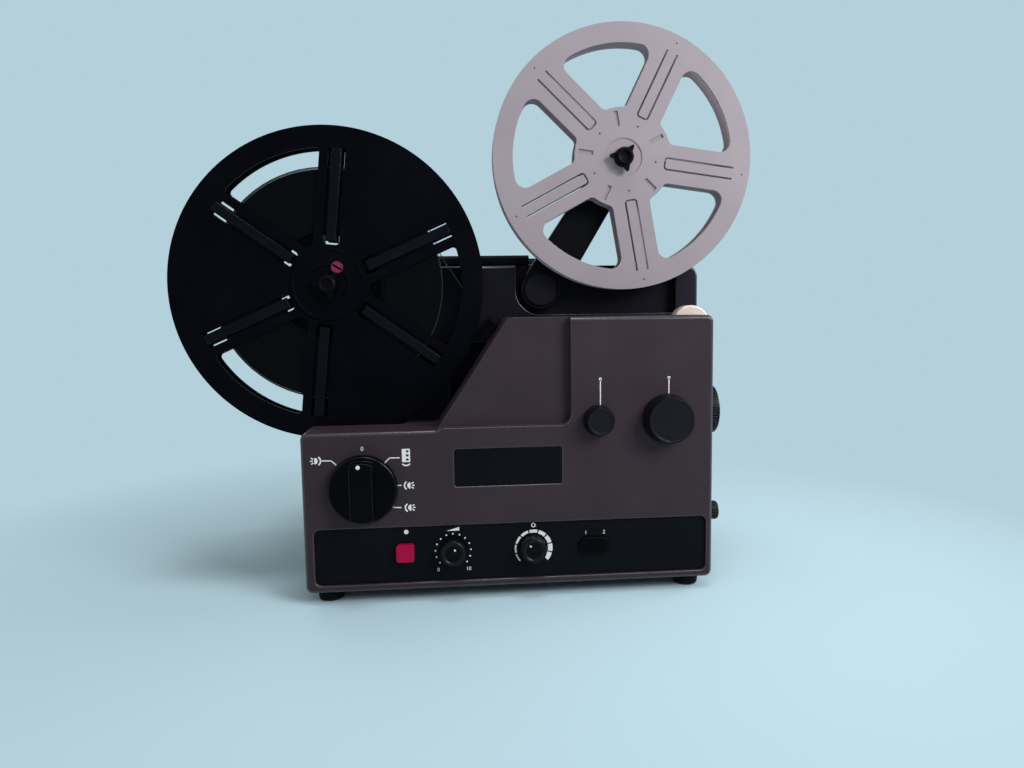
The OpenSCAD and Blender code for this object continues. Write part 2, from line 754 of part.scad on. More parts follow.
module pivot_pulley() {
    color("#8c8c90") tube_y(pivot_x, pivot_z, arm_pulley_y0, arm_pulley_y1, arm_pulley_r,
        arm_pin_r + run_gap);
}
module arm_belt() {
    color("black") belt(pivot_x, pivot_z, arm_pulley_r, supply_x, supply_z, arm_pulley_r,
        arm_pulley_y0 + 0.5, arm_pulley_y1 - 0.5, arm_belt_t);
}

// Reels
prong_angles = [50, 175, 285];
module spindle_head(x, z) {
    rod_y(x, z, reel_y0 - spindle_nose + 1, reel_y1, spindle_r);
    rod_y(x, z, reel_y0 - spindle_nose, reel_y0 - spindle_nose + 1, spindle_r - 1.2);
    for (a = prong_angles) translate([x, 0, z]) rotate([0, -a, 0])
        box(0, spindle_r + 3.6, reel_y0 - 5, reel_y0 - 2, -1.5, 1.5);
}
module supply_spindle() {
    color("#131316") {
        spindle_head(supply_x, supply_z);
        rod_y(supply_x, supply_z, reel_y1, arm_y0 - move_gap, 9.5);
        rod_y(supply_x, supply_z, arm_y0 - move_gap, arm_pulley_y0, spindle_shaft_r);
        rod_y(supply_x, supply_z, arm_pulley_y0, arm_pulley_y1, arm_pulley_r);
        rod_y(supply_x, supply_z, arm_pulley_y1, arm_y1 - move_gap / 2, spindle_tail_r);
    }
}
// Windows between n spokes, as a flat shape; a step of 2 leaves every second place solid
module windows(n, phase, r_in, r_out, half, round_r, step) {
    offset(r = round_r, $fn = 24) offset(delta = -round_r)
        for (k = [0:step:n - 1]) intersection() {
            difference() {
                circle(r_out, $fn = 120);
                circle(r_in, $fn = 72);
            }
            rotate(phase + k * 360 / n) difference() {
                polygon([[0, 0], [2 * r_out, 0], 3 * r_out * [cos(180 / n), sin(180 / n)],
                    2 * r_out * [cos(360 / n), sin(360 / n)]]);
                translate([0, -half]) square([2 * r_out, 2 * half]);
                rotate(360 / n) translate([0, -half]) square([2 * r_out, 2 * half]);
            }
        }
}
supply_spokes = 5;
supply_hub_r = 33.5;
supply_rim_w = 13.5;
supply_spoke_half = 13;
groove_half = 4.6;
groove_t = 1;
groove_depth = 0.6;
supply_core_r = 30;
supply_window_r = 5;
hub_rib_half = 1;
hub_ribs = 5;
hub_arc_steps = 12;
module supply_grooves(y0, y1) {
    r0 = supply_hub_r - 6;
    r1 = supply_r - supply_rim_w + 2.5;
    for (k = [0:supply_spokes - 1])
        translate([supply_x, 0, supply_z]) rotate([0, -supply_phase - 72 * k, 0]) difference() {
            box(r0, r1, y0, y1, -groove_half, groove_half);
            box(r0 + groove_t, r1 - groove_t, y0 - 1, y1 + 1,
                groove_t - groove_half, groove_half - groove_t);
        }
}
module supply_flange(y0, y1) {
    difference() {
        rod_y(supply_x, supply_z, y0, y1, supply_r);
        translate([supply_x, 0, supply_z]) plate_y(y0 - 1, y1 + 1)
            windows(supply_spokes, supply_phase, supply_hub_r, supply_r - supply_rim_w,
                supply_spoke_half, supply_window_r, 1);
        rod_y(supply_x, supply_z, y0 - 1, y1 + 1, spindle_bore_r);
    }
}
module supply_flange_front() {
    color("#b3a8b0") difference() {
        supply_flange(reel_y0, reel_y0 + flange_t);
        supply_grooves(reel_y0 - 1, reel_y0 + groove_depth);
        for (k = [0:supply_spokes - 1])
            translate([supply_x, 0, supply_z]) rotate([0, -supply_phase - 36 - 72 * k, 0])
                box(21, 31, reel_y0 - 1, reel_y0 + flange_t + 1, -1.1, 1.1);
        rod_y(supply_x, supply_z, reel_y0 - 1, reel_y0 + groove_depth, 13);
    }
}
module supply_flange_back() {
    color("#9c939a") supply_flange(reel_y1 - flange_t, reel_y1);
}
// The core of a reel: a disc with pockets between straight ribs
module reel_hub(x, z, phase, r, wall, boss_r) {
    y0 = reel_y0 + flange_t;
    y1 = reel_y1 - flange_t;
    step = 360 / hub_ribs;
    difference() {
        tube_y(x, z, y0, y1, r, spindle_bore_r);
        translate([x, 0, z]) plate_y(y0 - 1, y1 + 1) for (k = [0:hub_ribs - 1])
            rotate(phase + k * step) polygon(concat(
                rib_arc(r - wall, step, 0, hub_arc_steps, 1), rib_arc(boss_r, step, hub_arc_steps, 0, -1)));
    }
}
// Points of a circle between two ribs, clear of half a rib at each end
function rib_arc(r, step, first, last, way) =
    let(a = asin(hub_rib_half / r))
    [for (i = [first:way:last]) r * [cos(a + (step - 2 * a) * i / hub_arc_steps),
        sin(a + (step - 2 * a) * i / hub_arc_steps)]];
module supply_hub() {
    color("#a59aa2") reel_hub(supply_x, supply_z, supply_phase, supply_core_r, 2.5, spindle_bore_r + 4);
}
takeup_spokes = 6;
takeup_disc_r = 24.5;
takeup_window_in = 28;
takeup_rim_w = 14.5;
takeup_spoke_half = 11.5;
slot_pitch = 9;
slot_w = 2;
slot_in = 26.5;
module takeup_slots() {
    length = takeup_r - takeup_rim_w - slot_in;
    for (k = [0:takeup_spokes - 1]) rotate(takeup_phase + 60 * k) {
        for (side = [-1, 1])
            translate([slot_in, side * slot_pitch / 2 - slot_w / 2]) square([length, slot_w]);
        translate([slot_in, -slot_pitch / 2 - slot_w / 2]) square([slot_w, slot_pitch + slot_w]);
    }
}
module takeup_flange(y0, y1) {
    difference() {
        rod_y(takeup_x, takeup_z, y0, y1, takeup_r);
        translate([takeup_x, 0, takeup_z]) plate_y(y0 - 1, y1 + 1) {
            windows(takeup_spokes, takeup_phase + 60, takeup_window_in, takeup_r - takeup_rim_w,
                takeup_spoke_half, 2.5, 2);
            takeup_slots();
        }
        rod_y(takeup_x, takeup_z, y0 - 1, y1 + 1, spindle_bore_r);
    }
}
module takeup_flange_front() {
    color("#141418") {
        takeup_flange(reel_y0, reel_y0 + flange_t);
        tube_y(takeup_x, takeup_z, reel_y0 - 1.2, reel_y0 + 0.5, takeup_disc_r, spindle_bore_r);
    }
}
module takeup_flange_back() {
    color("#111114") takeup_flange(reel_y1 - flange_t, reel_y1);
}
module takeup_hub() {
    color("#18181c") reel_hub(takeup_x, takeup_z, takeup_phase, core_r, 3, spindle_bore_r + 5);
}
takeup_collar_r = 11;
takeup_collar_t = 0.4;
takeup_shaft_r = spindle_r - 1;
takeup_bush_y0 = reel_y1 + takeup_collar_t + move_gap;
module takeup_spindle() {
    color("#131316") {
        spindle_head(takeup_x, takeup_z);
        rod_y(takeup_x, takeup_z, reel_y1, reel_y1 + takeup_collar_t, takeup_collar_r);
        rod_y(takeup_x, takeup_z, reel_y1, bush_y1 + move_gap, takeup_shaft_r);
        pulley(takeup_x, takeup_z, bush_y1 + move_gap, spindle_r);
    }
}
strip_t = 0.5;
strip_gap = 0.6;
film_roll_r = film_r - 2 * strip_t - 2 * strip_gap;
module film_roll() {
    color("#1a1816") tube_y(takeup_x, takeup_z, film_y - film_w / 2, film_y + film_w / 2, film_roll_r,
        core_r + seat_gap);
}
// The outer turn of film: it runs once round the roll, then its free end leaves for the rim
turn_steps = 72;
tail_steps = 10;
tail_start = 17;
tail_angle = 26;
tail_rise = 20;
strip_r0 = film_roll_r + strip_gap / 2 + strip_t / 2;
strip_points = concat(
    [for (i = [0:turn_steps]) let(u = i / turn_steps)
        [tail_start + 360 * (1 - u), strip_r0 + (strip_t + strip_gap) * u]],
    [for (i = [1:tail_steps]) let(u = i / tail_steps)
        [tail_start - tail_angle * u, strip_r0 + strip_t + strip_gap + tail_rise * pow(u, 1.6)]]);
function polar(p, r) = r * [cos(p[0]), sin(p[0])];
strip_self_gap = min([for (i = [turn_steps - 6:turn_steps + tail_steps], j = [0:6])
    norm(polar(strip_points[i], strip_points[i][1])
        - polar(strip_points[j], strip_points[j][1]))]) - strip_t;
echo(film_outer_turn_least_gap = strip_self_gap);
module film_outer_turn() {
    n = len(strip_points);
    ring = [for (p = strip_points, c = [[-1, -1], [1, -1], [1, 1], [-1, 1]])
        let(q = polar(p, p[1] + c[0] * strip_t / 2)) [q[0], c[1] * film_w / 2, q[1]]];
    walls = [for (i = [0:n - 2], k = [0:3], half = [0, 1])
        let(a = 4 * i + k, b = 4 * i + (k + 1) % 4)
        half == 0 ? [a, a + 4, b + 4] : [a, b + 4, b]];
    last = 4 * (n - 1);
    color("#2a2623") translate([takeup_x, film_y, takeup_z]) polyhedron(points = ring,
        faces = concat([[0, 1, 2], [0, 2, 3]], walls,
            [[last, last + 2, last + 1], [last, last + 3, last + 2]]));
}

// Bearings that are fixed in the chassis
module flanged_bush(x, z, y0, y1, r, flange_r, flange_t, bore) {
    difference() {
        union() {
            rod_y(x, z, y0, y1, r);
            rod_y(x, z, y0, y0 + flange_t, flange_r);
        }
        rod_y(x, z, y0 - 1, y1 + 1, bore);
    }
}
module chassis_bush(x, z, r) {
    flanged_bush(x, z, bush_y0, bush_y1, r + bush_wall, r + 2 * bush_wall, bush_flange_t, r + run_gap);
}
module shaft_bearings() {
    color("#b08d57") {
        flanged_bush(takeup_x, takeup_z, takeup_bush_y0, bush_y1, takeup_bush_r, takeup_bush_r + 4,
            seam_y - takeup_bush_y0, takeup_shaft_r + run_gap);
        for (z = [main_z, lower_z])
            chassis_bush(main_x, z, drive_shaft_r);
        chassis_bush(drum_x, drum_z, drum_shaft_r);
        difference() {
            box(shutter_x - bearing_back, shutter_x - bearing_front, film_y - bearing_half, pocket_y,
                shutter_z - bearing_half, shutter_z + bearing_half);
            rod_x(film_y, shutter_z, shutter_x - bearing_back - 1, shutter_x - bearing_front + 1,
                shutter_shaft_r + run_gap);
        }
    }
}

// Controls
cam_r = 12;
cam_t = 5;
switch_half = 17;
switch_y1 = cover_in_y + 12;
dial_bar_in = 3;
module mode_dial() {
    y = front_y - move_gap;
    bar_y = y - dial_disc_h - dial_bar_h;
    cam_y = switch_y1 + move_gap;
    color("#121215") {
        translate([dial_cx, y, dial_cz]) rotate([90, 0, 0]) rotate_extrude()
            polygon([[0, 0], [dial_r, 0], [dial_r, dial_disc_h - 2], [dial_r - 0.6, dial_disc_h - 0.6],
                [dial_r - 2, dial_disc_h], [0, dial_disc_h]]);
        intersection() {
            box(dial_cx - dial_bar_w / 2, dial_cx + dial_bar_w / 2, bar_y, y - dial_disc_h + 1,
                dial_cz - dial_r, dial_cz + dial_r);
            rod_y(dial_cx, dial_cz, bar_y - 1, y, dial_r - dial_bar_in);
        }
        rod_y(dial_cx, dial_cz, y - 1, cam_y + cam_t, shaft_r);
        rod_y(dial_cx, dial_cz, cam_y, cam_y + cam_t, cam_r);
        rod_y(dial_cx + cam_r / 2, dial_cz, cam_y, cam_y + cam_t, cam_r - 3);
    }
}
module mode_switch() {
    color("#6b5a3a") difference() {
        union() {
            box(dial_cx - switch_half, dial_cx + switch_half, cover_in_y, switch_y1,
                dial_cz - switch_half, dial_cz + switch_half);
            rod_y(dial_cx, dial_cz, front_y, cover_in_y + 1, knob_bush_r);
        }
        rod_y(dial_cx, dial_cz, front_y - 1, switch_y1 + 1, shaft_r + run_gap);
    }
}
stem_r = 2;
record_back = panel_back_y;
module record_button() {
    half = record_w / 2;
    color("#c8143c") {
        box(record_cx - half, record_cx + half, front_y - 2, record_back, row_cz - half, row_cz + half);
        rod_y(record_cx, row_cz, record_back, record_back + 10, stem_r);
    }
}
module small_knob(x) {
    knob_form(x, row_cz, panel_y - move_gap, knob_r, knob_h, 0.8);
    rod_y(x, row_cz, panel_y - move_gap - 1, cover_in_y + 8, shaft_r);
}
module volume_knob() { color("#16161a") small_knob(volume_cx); }
module trick_knob() { color("#16161a") small_knob(trick_cx); }
slide_grip_h = 2.2;
slide_stem_y = cover_in_y + 4;
module slide_grip() {
    y1 = panel_y - move_gap;
    half = (slide_w - slide_h) / 2;
    color("#0f0f12") {
        for (x = [slide_cx - half, slide_cx + half]) rod_y(x, row_cz, y1 - slide_grip_h, y1, slide_h / 2);
        box(slide_cx - half, slide_cx + half, y1 - slide_grip_h, y1,
            row_cz - slide_h / 2, row_cz + slide_h / 2);
        box(slide_cx - slide_stem_w / 2, slide_cx + slide_stem_w / 2, y1 - 0.5, slide_stem_y,
            row_cz - slide_stem_h / 2, row_cz + slide_stem_h / 2);
    }
}
module control_bodies() {
    pot_y1 = cover_in_y + 9;
    color("#5d6066") {
        for (x = [volume_cx, trick_cx]) difference() {
            union() {
                rod_y(x, row_cz, cover_in_y, pot_y1, 8.5);
                rod_y(x, row_cz, panel_y, cover_in_y + 1, pot_bush_r);
            }
            rod_y(x, row_cz, panel_y - 1, pot_y1 + 1, shaft_r + run_gap);
        }
        difference() {
            box(record_cx - 9, record_cx + 9, cover_in_y, cover_in_y + 14, row_cz - 9, row_cz + 9);
            box(record_cx - record_w / 2 - move_gap, record_cx + record_w / 2 + move_gap, cover_in_y - 1,
                record_back + record_travel + move_gap,
                row_cz - record_w / 2 - move_gap, row_cz + record_w / 2 + move_gap);
            rod_y(record_cx, row_cz, cover_in_y, cover_in_y + 15, stem_r + run_gap);
        }
        difference() {
            box(slide_slot_x0 - 6, slide_slot_x1 + 6, cover_in_y, slide_stem_y + 6,
                row_cz - slide_slot_half - 4.6, row_cz + slide_slot_half + 4.6);
            box(slide_slot_x0, slide_slot_x1, cover_in_y - 1, slide_stem_y + 1,
                row_cz - slide_slot_half, row_cz + slide_slot_half);
        }
        difference() {
            union() {
                box(speed_in_x - speed_body, speed_in_x, speed_y - speed_body / 2, speed_y + speed_body / 2,
                    speed_z - speed_body / 2, speed_z + speed_body / 2);
                rod_x(speed_y, speed_z, speed_in_x - 1, cover_x1, pot_bush_r);
            }
            rod_x(speed_y, speed_z, speed_in_x - speed_shaft - 2, cover_x1 + 1, speed_shaft_r + run_gap);
        }
    }
}
module frame_knob() {
    color("#202024") {
        knob_form(frame_cx, axis_z, front_y - move_gap, frame_r, frame_h, 0.8);
        rod_y(frame_cx, axis_z, front_y - move_gap - 1, front_y + 19, shaft_r);
        rod_y(frame_cx, axis_z, front_y + 15, front_y + 19, 6);
    }
}
mount_y0 = film_y - barrel_r - 5.5;
module focus_knob() {
    color("#202024") {
        knob_form(focus_cx, axis_z, front_y - move_gap, focus_r, focus_h, 1.2);
        rod_y(focus_cx, axis_z, front_y - move_gap - 1, film_y - barrel_r - 0.6, shaft_r);
    }
}
module knob_bushes() {
    color("#a8a9ad") for (x = [frame_cx, focus_cx])
        tube_collar(x, cover_in_y + 5);
}
module tube_collar(x, y1) {
    difference() {
        union() {
            rod_y(x, axis_z, front_y, y1, knob_bush_r);
            rod_y(x, axis_z, cover_in_y, y1, knob_bush_r + 2.5);
        }
        rod_y(x, axis_z, front_y - 1, y1 + 1, shaft_r + run_gap);
    }
}
module speed_knob() {
    color("#121216") {
        rod_x(speed_y, speed_z, cover_x1 + move_gap, cover_x1 + speed_knob_l, speed_r);
        rod_x(speed_y, speed_z, speed_in_x - speed_shaft, cover_x1 + 1, speed_shaft_r);
    }
}

// Lens and film path
module lens_mount() {
    color("#2e2f34") difference() {
        box(gate_x + 3.5, mount_x1, mount_y0, pocket_y, axis_z - barrel_r - 6, axis_z + barrel_r + 6);
        rod_x(film_y, axis_z, gate_x, mount_x1 + 1, barrel_r + 0.03);
        rod_y(focus_cx, axis_z, mount_y0 - 1, film_y - barrel_r + 2, shaft_r + run_gap);
    }
}
barrel_x0 = gate_x + 8;
barrel_x1 = cover_x1 + 13;
barrel_bore_r = barrel_r - 2.5;
module lens_barrel() {
    color("#1b1b1f") difference() {
        rod_x(film_y, axis_z, barrel_x0, barrel_x1, barrel_r);
        rod_x(film_y, axis_z, barrel_x0 - 1, barrel_x1 + 1, barrel_bore_r);
    }
}
module lens_glass() {
    color("lightblue", 0.5) for (x = [barrel_x0 + 1, barrel_x1 - 6])
        rod_x(film_y, axis_z, x, x + 4, barrel_bore_r - 0.05);
}
module zoom_ring() {
    x0 = cover_x1 + 2;
    color("#141417") difference() {
        rod_x(film_y, axis_z, x0, x0 + zoom_w, zoom_r);
        rod_x(film_y, axis_z, x0 - 1, x0 + zoom_w + 1, barrel_r + run_gap);
    }
}
module film_gate() {
    color("#c2c4c8") {
        difference() {
            box(gate_x - 3, gate_x, film_y - 13, pocket_y, axis_z - 24, axis_z + 24);
            box(gate_x - 4, gate_x + 1, film_y - 2.9, film_y + 2.9, axis_z - 2.1, axis_z + 2.1);
        }
        difference() {
            box(gate_x + 0.5, gate_x + 3.5, film_y - 7, film_y + 7, axis_z - 18, axis_z + 18);
            box(gate_x, gate_x + 4, film_y - 2.9, film_y + 2.9, axis_z - 2.1, axis_z + 2.1);
        }
    }
}
module shutter() {
    color("#505257") difference() {
        union() {
            rod_x(film_y, shutter_z, shutter_x - shutter_tail, shutter_x + shutter_nose, shutter_shaft_r);
            rod_x(film_y, shutter_z, shutter_x - bearing_front + move_gap, shutter_x + shutter_t,
                2 * shutter_shaft_r);
            rod_x(film_y, shutter_z, shutter_x, shutter_x + shutter_t, shutter_r);
        }
        for (a = [0, 120, 240]) translate([0, film_y, shutter_z]) rotate([a + 60, 0, 0])
            box(shutter_x - 1, shutter_x + 3, -4.5, 4.5, 9, shutter_r + 1);
    }
}
lamp_back = 80;
lamp_front = 38;
lamp_half_w = 19;
lamp_half_h = 18;
lamp_wall = 2;
lamp_slits = 5;
lamp_slit_w = 3;
lamp_slit_pitch = 7;
lamp_slit_in = 6;
lamp_slit_back = 6;
lamp_slit_front = 10;
lamp_x0 = gate_x - lamp_back;
lamp_x1 = gate_x - lamp_front;
module lamp_house() {
    color("#7d7f84") difference() {
        box(lamp_x0, lamp_x1, film_y - lamp_half_w, pocket_y, axis_z - lamp_half_h, axis_z + lamp_half_h);
        box(lamp_x0 + lamp_wall, lamp_x1 + 1, film_y - lamp_half_w + lamp_wall, pocket_y - lamp_wall,
            axis_z - lamp_half_h + lamp_wall, axis_z + lamp_half_h - lamp_wall);
        for (i = [0:lamp_slits - 1]) translate([lamp_x0 + lamp_slit_in + i * lamp_slit_pitch, 0, 0])
            box(0, lamp_slit_w, film_y - lamp_slit_front, pocket_y - lamp_slit_back,
                axis_z + lamp_half_h - lamp_wall - 1, axis_z + lamp_half_h + 1);
    }
}
module lamp() {
    color("lightyellow") translate([lamp_x0 + lamp_wall, film_y, axis_z]) rotate([0, 90, 0]) rotate_extrude()
        polygon([[0, 0], [5, 0], [5, 10], [8, 14], [12, 20], [15, 30], [13.6, 30], [10.6, 20.8],
            [6.6, 15], [3, 14], [3, 22], [0, 24]]);
}
module film_guides() {
    color("#c9cacd") {
        rod_y(inlet_x, inlet_z, film_y - film_w / 2 - 3, seam_y, guide_r);
        rod_y(exit_x, exit_z, exit_y0, seam_y, guide_r);
        rod_y(exit_x, exit_z, exit_y0, exit_y0 + guide_head_t, guide_head_r);
    }
}
module inlet_roller() {
    color("#ead9c6") tube_y(inlet_x, inlet_z, film_y - film_w / 2 - 2, film_y + film_w / 2 + 2, inlet_r,
        guide_r + run_gap);
}

// Drive
module sprocket(x, z) {
    for (y = [film_y - 4.5, film_y + 2.5]) rod_y(x, z, y, y + 2, sprocket_r);
    rod_y(x, z, film_y - 4.5, film_y + 4.5, sprocket_r - 1.6);
}
module main_shaft() {
    color("#8f9196") {
        rod_y(main_x, main_z, film_y - 7, timing_y0 + pulley_w, drive_shaft_r);
        sprocket(main_x, main_z);
        pulley(main_x, main_z, pulley_y0, main_pulley_r);
        pulley(main_x, main_z, timing_y0, timing_r);
    }
}
module lower_shaft() {
    color("#8f9196") {
        rod_y(main_x, lower_z, film_y - 7, timing_y0 + pulley_w, drive_shaft_r);
        sprocket(main_x, lower_z);
        rod_y(main_x, lower_z, pulley_y0, timing_y0, drive_shaft_r + 2);
        pulley(main_x, lower_z, timing_y0, timing_r);
    }
}
module drive_belts() {
    color("black") {
        belt(motor_x, motor_z, motor_pulley_r, main_x, main_z, main_pulley_r, pulley_y0 + belt_in,
            pulley_y0 + pulley_w - belt_in, belt_t);
        belt(main_x, lower_z, timing_r, main_x, main_z, timing_r, timing_y0 + belt_in,
            timing_y0 + pulley_w - belt_in, belt_t);
    }
}
motor_lean = atan2(main_z - motor_z, main_x - motor_x);
module motor() {
    color("#77797e") difference() {
        union() {
            rod_y(motor_x, motor_z, motor_y0, motor_y0 + motor_len, motor_r);
            for (a = [90, 180, 270]) translate([motor_x, 0, motor_z]) rotate([0, -motor_lean - a, 0])
                rod_y(motor_r - 5, 0, chassis_y1, motor_y0 + 1, 3);
        }
        rod_y(motor_x, motor_z, motor_y0 - 1, motor_y0 + motor_len + 1, motor_shaft_r + run_gap);
    }
}
fan_y0 = motor_y0 + motor_len + 1;
fan_t = 9;
module motor_rotor() {
    color("#3a3b40") {
        rod_y(motor_x, motor_z, pulley_y0, fan_y0 + fan_t, motor_shaft_r);
        pulley(motor_x, motor_z, pulley_y0, motor_pulley_r);
        rod_y(motor_x, motor_z, fan_y0, fan_y0 + 1.5, motor_r - 3);
        for (i = [0:7]) translate([motor_x, 0, motor_z]) rotate([0, 45 * i, 0])
            box(motor_shaft_r - 0.5, motor_r - 3, fan_y0 + 1, fan_y0 + fan_t, -0.8, 0.8);
    }
}
module sound_drum() {
    color("#a9abb0") {
        rod_y(drum_x, drum_z, film_y - 9, flywheel_y0 + 13, drum_shaft_r);
        rod_y(drum_x, drum_z, film_y - 7, film_y + 7, drum_r);
        rod_y(drum_x, drum_z, pulley_y0, flywheel_y0, drum_shaft_r + 2);
        rod_y(drum_x, drum_z, flywheel_y0, flywheel_y0 + 12, flywheel_r);
    }
}

// Electrics
core_w = 60;
core_h = 52;
core_t = 30;
core_leg = 10;
coil_out = 12;
core_in = 74;
core_gap = 6;
transformer_x = cap_x - core_w - core_gap;
core_y = seam_y + core_in;
module transformer() {
    color("#6e5a44") {
        box(transformer_x, transformer_x + core_w, core_y, core_y + core_t, housing_z0, housing_z0 + core_h);
        box(transformer_x + coil_out, transformer_x + core_w - coil_out, core_y - coil_out,
            core_y + core_t + coil_out, housing_z0 + core_leg, housing_z0 + core_h - core_leg);
    }
}
board_w = 118;
board_h = 92;
board_t = 1.6;
board_back = 16;
board_in = 52;
board_y = housing_y1 - board_back;
can_r = 5;
can_h = 12;
can_pitch = 18;
can_in = 16;
can_up = 72;
sink_w = 22;
sink_h = 42;
sink_t = 14;
sink_in = 90;
sink_up = 40;
chip_w = 16;
chip_h = 8;
chip_t = 4;
chip_pitch = 24;
chip_in = 12;
chip_up = 44;
seat_in = 0.5;
module amplifier_board() {
    x0 = housing_x0 + board_in;
    color("#3f6b45") {
        box(x0, x0 + board_w, board_y, board_y + board_t, housing_z0, housing_z0 + board_h);
        for (i = [0:3]) translate([x0 + can_in + i * can_pitch, 0, 0])
            rod_y(0, housing_z0 + can_up, board_y - can_h, board_y + seat_in, can_r);
        box(x0 + sink_in, x0 + sink_in + sink_w, board_y - sink_t, board_y + seat_in,
            housing_z0 + sink_up, housing_z0 + sink_up + sink_h);
        for (i = [0:2]) translate([x0 + chip_in + i * chip_pitch, 0, 0])
            box(0, chip_w, board_y - chip_t, board_y + seat_in,
                housing_z0 + chip_up, housing_z0 + chip_up + chip_h);
    }
}
module speaker() {
    color("#3b3a38") translate([housing_x0 + housing_wall, speaker_y, speaker_z]) rotate([0, 90, 0])
        rotate_extrude() polygon([[0, 18], [12, 18], [12, 8], [speaker_r - 4, 3], [speaker_r, 3],
            [speaker_r, 0], [speaker_r - 4, 0], [10, 6], [0, 5]]);
}
module rear_sockets() {
    color("#8a8b90") {
        for (i = [0:jack_count - 1])
            flanged_bush(jack_x + i * jack_pitch, jack_z, housing_y1 - 10, back_y, jack_r + jack_wall,
                jack_r + jack_wall + 2.4, 10, jack_r);
        difference() {
            box(mains_x, mains_x + inlet_w, housing_y1 - 14, back_y, mains_z, mains_z + inlet_h);
            box(mains_x + mains_wall, mains_x + inlet_w - mains_wall, housing_y1 - 10, back_y + 1,
                mains_z + mains_wall, mains_z + inlet_h - mains_wall);
        }
        for (x = [mains_x + mains_pin_in, mains_x + inlet_w - mains_pin_in])
            rod_y(x, mains_z + inlet_h / 2, housing_y1 - 11, back_y - 3, mains_pin_r);
    }
}

rear_housing();
end_cap();
back_cover();
base_plate();
rubber_feet();
chassis_plate();
front_cover();
name_plate();
control_panel();
cover_posts();
cover_screws();
carry_handle();
handle_brackets();
arm_shell();
arm_back_plate();
arm_pivot_pin();
pivot_pulley();
arm_belt();
supply_spindle();
supply_flange_front();
supply_flange_back();
supply_hub();
shaft_bearings();
takeup_spindle();
takeup_flange_front();
takeup_flange_back();
takeup_hub();
film_roll();
film_outer_turn();
mode_dial();
mode_switch();
record_button();
volume_knob();
trick_knob();
slide_grip();
control_bodies();
frame_knob();
focus_knob();
knob_bushes();
speed_knob();
lens_mount();
lens_barrel();
lens_glass();
zoom_ring();
film_gate();
shutter();
lamp_house();
lamp();
film_guides();
inlet_roller();
main_shaft();
lower_shaft();
drive_belts();
motor();
motor_rotor();
sound_drum();
transformer();
amplifier_board();
speaker();
rear_sockets();
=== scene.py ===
"""Looks of a sound film projector with two reels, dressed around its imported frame.

Lengths are in millimetres and angles in degrees, unless a docstring says otherwise.
"""

import json
import logging
import math
from dataclasses import dataclass, field, replace
from enum import Enum, IntEnum
from typing import ClassVar, Sequence

import bmesh
import bpy
from mathutils import Matrix, Vector


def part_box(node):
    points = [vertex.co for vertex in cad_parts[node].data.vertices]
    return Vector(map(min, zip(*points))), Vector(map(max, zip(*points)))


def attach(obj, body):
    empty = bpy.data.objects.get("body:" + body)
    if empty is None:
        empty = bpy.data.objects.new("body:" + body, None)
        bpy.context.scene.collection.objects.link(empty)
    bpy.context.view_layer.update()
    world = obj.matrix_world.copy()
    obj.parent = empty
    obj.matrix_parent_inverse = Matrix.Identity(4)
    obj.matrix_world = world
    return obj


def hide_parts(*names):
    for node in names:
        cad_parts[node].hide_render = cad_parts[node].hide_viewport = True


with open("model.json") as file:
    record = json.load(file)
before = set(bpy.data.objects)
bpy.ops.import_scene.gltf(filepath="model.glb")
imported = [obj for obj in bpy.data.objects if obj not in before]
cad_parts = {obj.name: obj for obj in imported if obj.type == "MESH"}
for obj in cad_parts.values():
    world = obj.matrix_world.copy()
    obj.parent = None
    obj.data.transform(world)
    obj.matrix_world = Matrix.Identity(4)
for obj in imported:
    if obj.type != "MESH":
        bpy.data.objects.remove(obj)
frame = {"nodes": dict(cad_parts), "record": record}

LOG = logging.getLogger("projector")
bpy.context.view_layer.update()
NODE_BODY = {node: body for body, nodes in frame["record"]["behaviour"]["bodies"].items() for node in nodes}

# A millimetre in metres
MM = 0.001
# How far print reaches below the surface that carries it
SINK = 0.1

Point = tuple[float, float]
Range = tuple[float, float]
Place = tuple[float, float, float]
Colour = tuple[float, float, float]
Outline = list[Point]
Socket = bpy.types.NodeSocket


class Slot(Enum):
    """The record's material slots."""

    HOUSING = "housing_black"
    COVER = "cover_brown"
    PANEL = "panel_black"
    KNOB = "knob_black"
    GREY_REEL = "reel_grey"
    BLACK_REEL = "reel_black"
    FILM = "film_base"
    RUBBER = "rubber_black"
    STEEL = "steel"
    BRONZE = "bronze"
    ALLOY = "alloy"
    RED = "record_red"
    GLASS = "lens_glass"
    NYLON = "nylon_cream"
    IRON = "iron_core"
    BOARD = "board"


class Steps(IntEnum):
    """Numbers of chords that arcs are drawn with."""

    HOLE = 3
    SLIT = 4
    CORNER = 6
    FILLET = 8
    SIGN = 10
    RIM = 20


class Facets(IntEnum):
    """Numbers of sides that circles and turned forms are drawn with."""

    DOT = 12
    SPOT = 20
    DISC = 24
    STEM = 32
    BORE = 48
    CATCH = 60
    RECESS = 72
    HUB = 96
    KNOB = 120
    GREY_RIM = 180
    BLACK_RIM = 200


def colour(code: str) -> Colour:
    """Turns a display colour into the linear colour that a shader takes.

    Args:
        code: Six hexadecimal digits.

    Returns:
        Linear red, green and blue.
    """
    levels = [int(code[i : i + 2], 16) / 255 for i in (0, 2, 4)]
    return tuple(v / 12.92 if v <= 0.04045 else ((v + 0.055) / 1.055) ** 2.4 for v in levels)


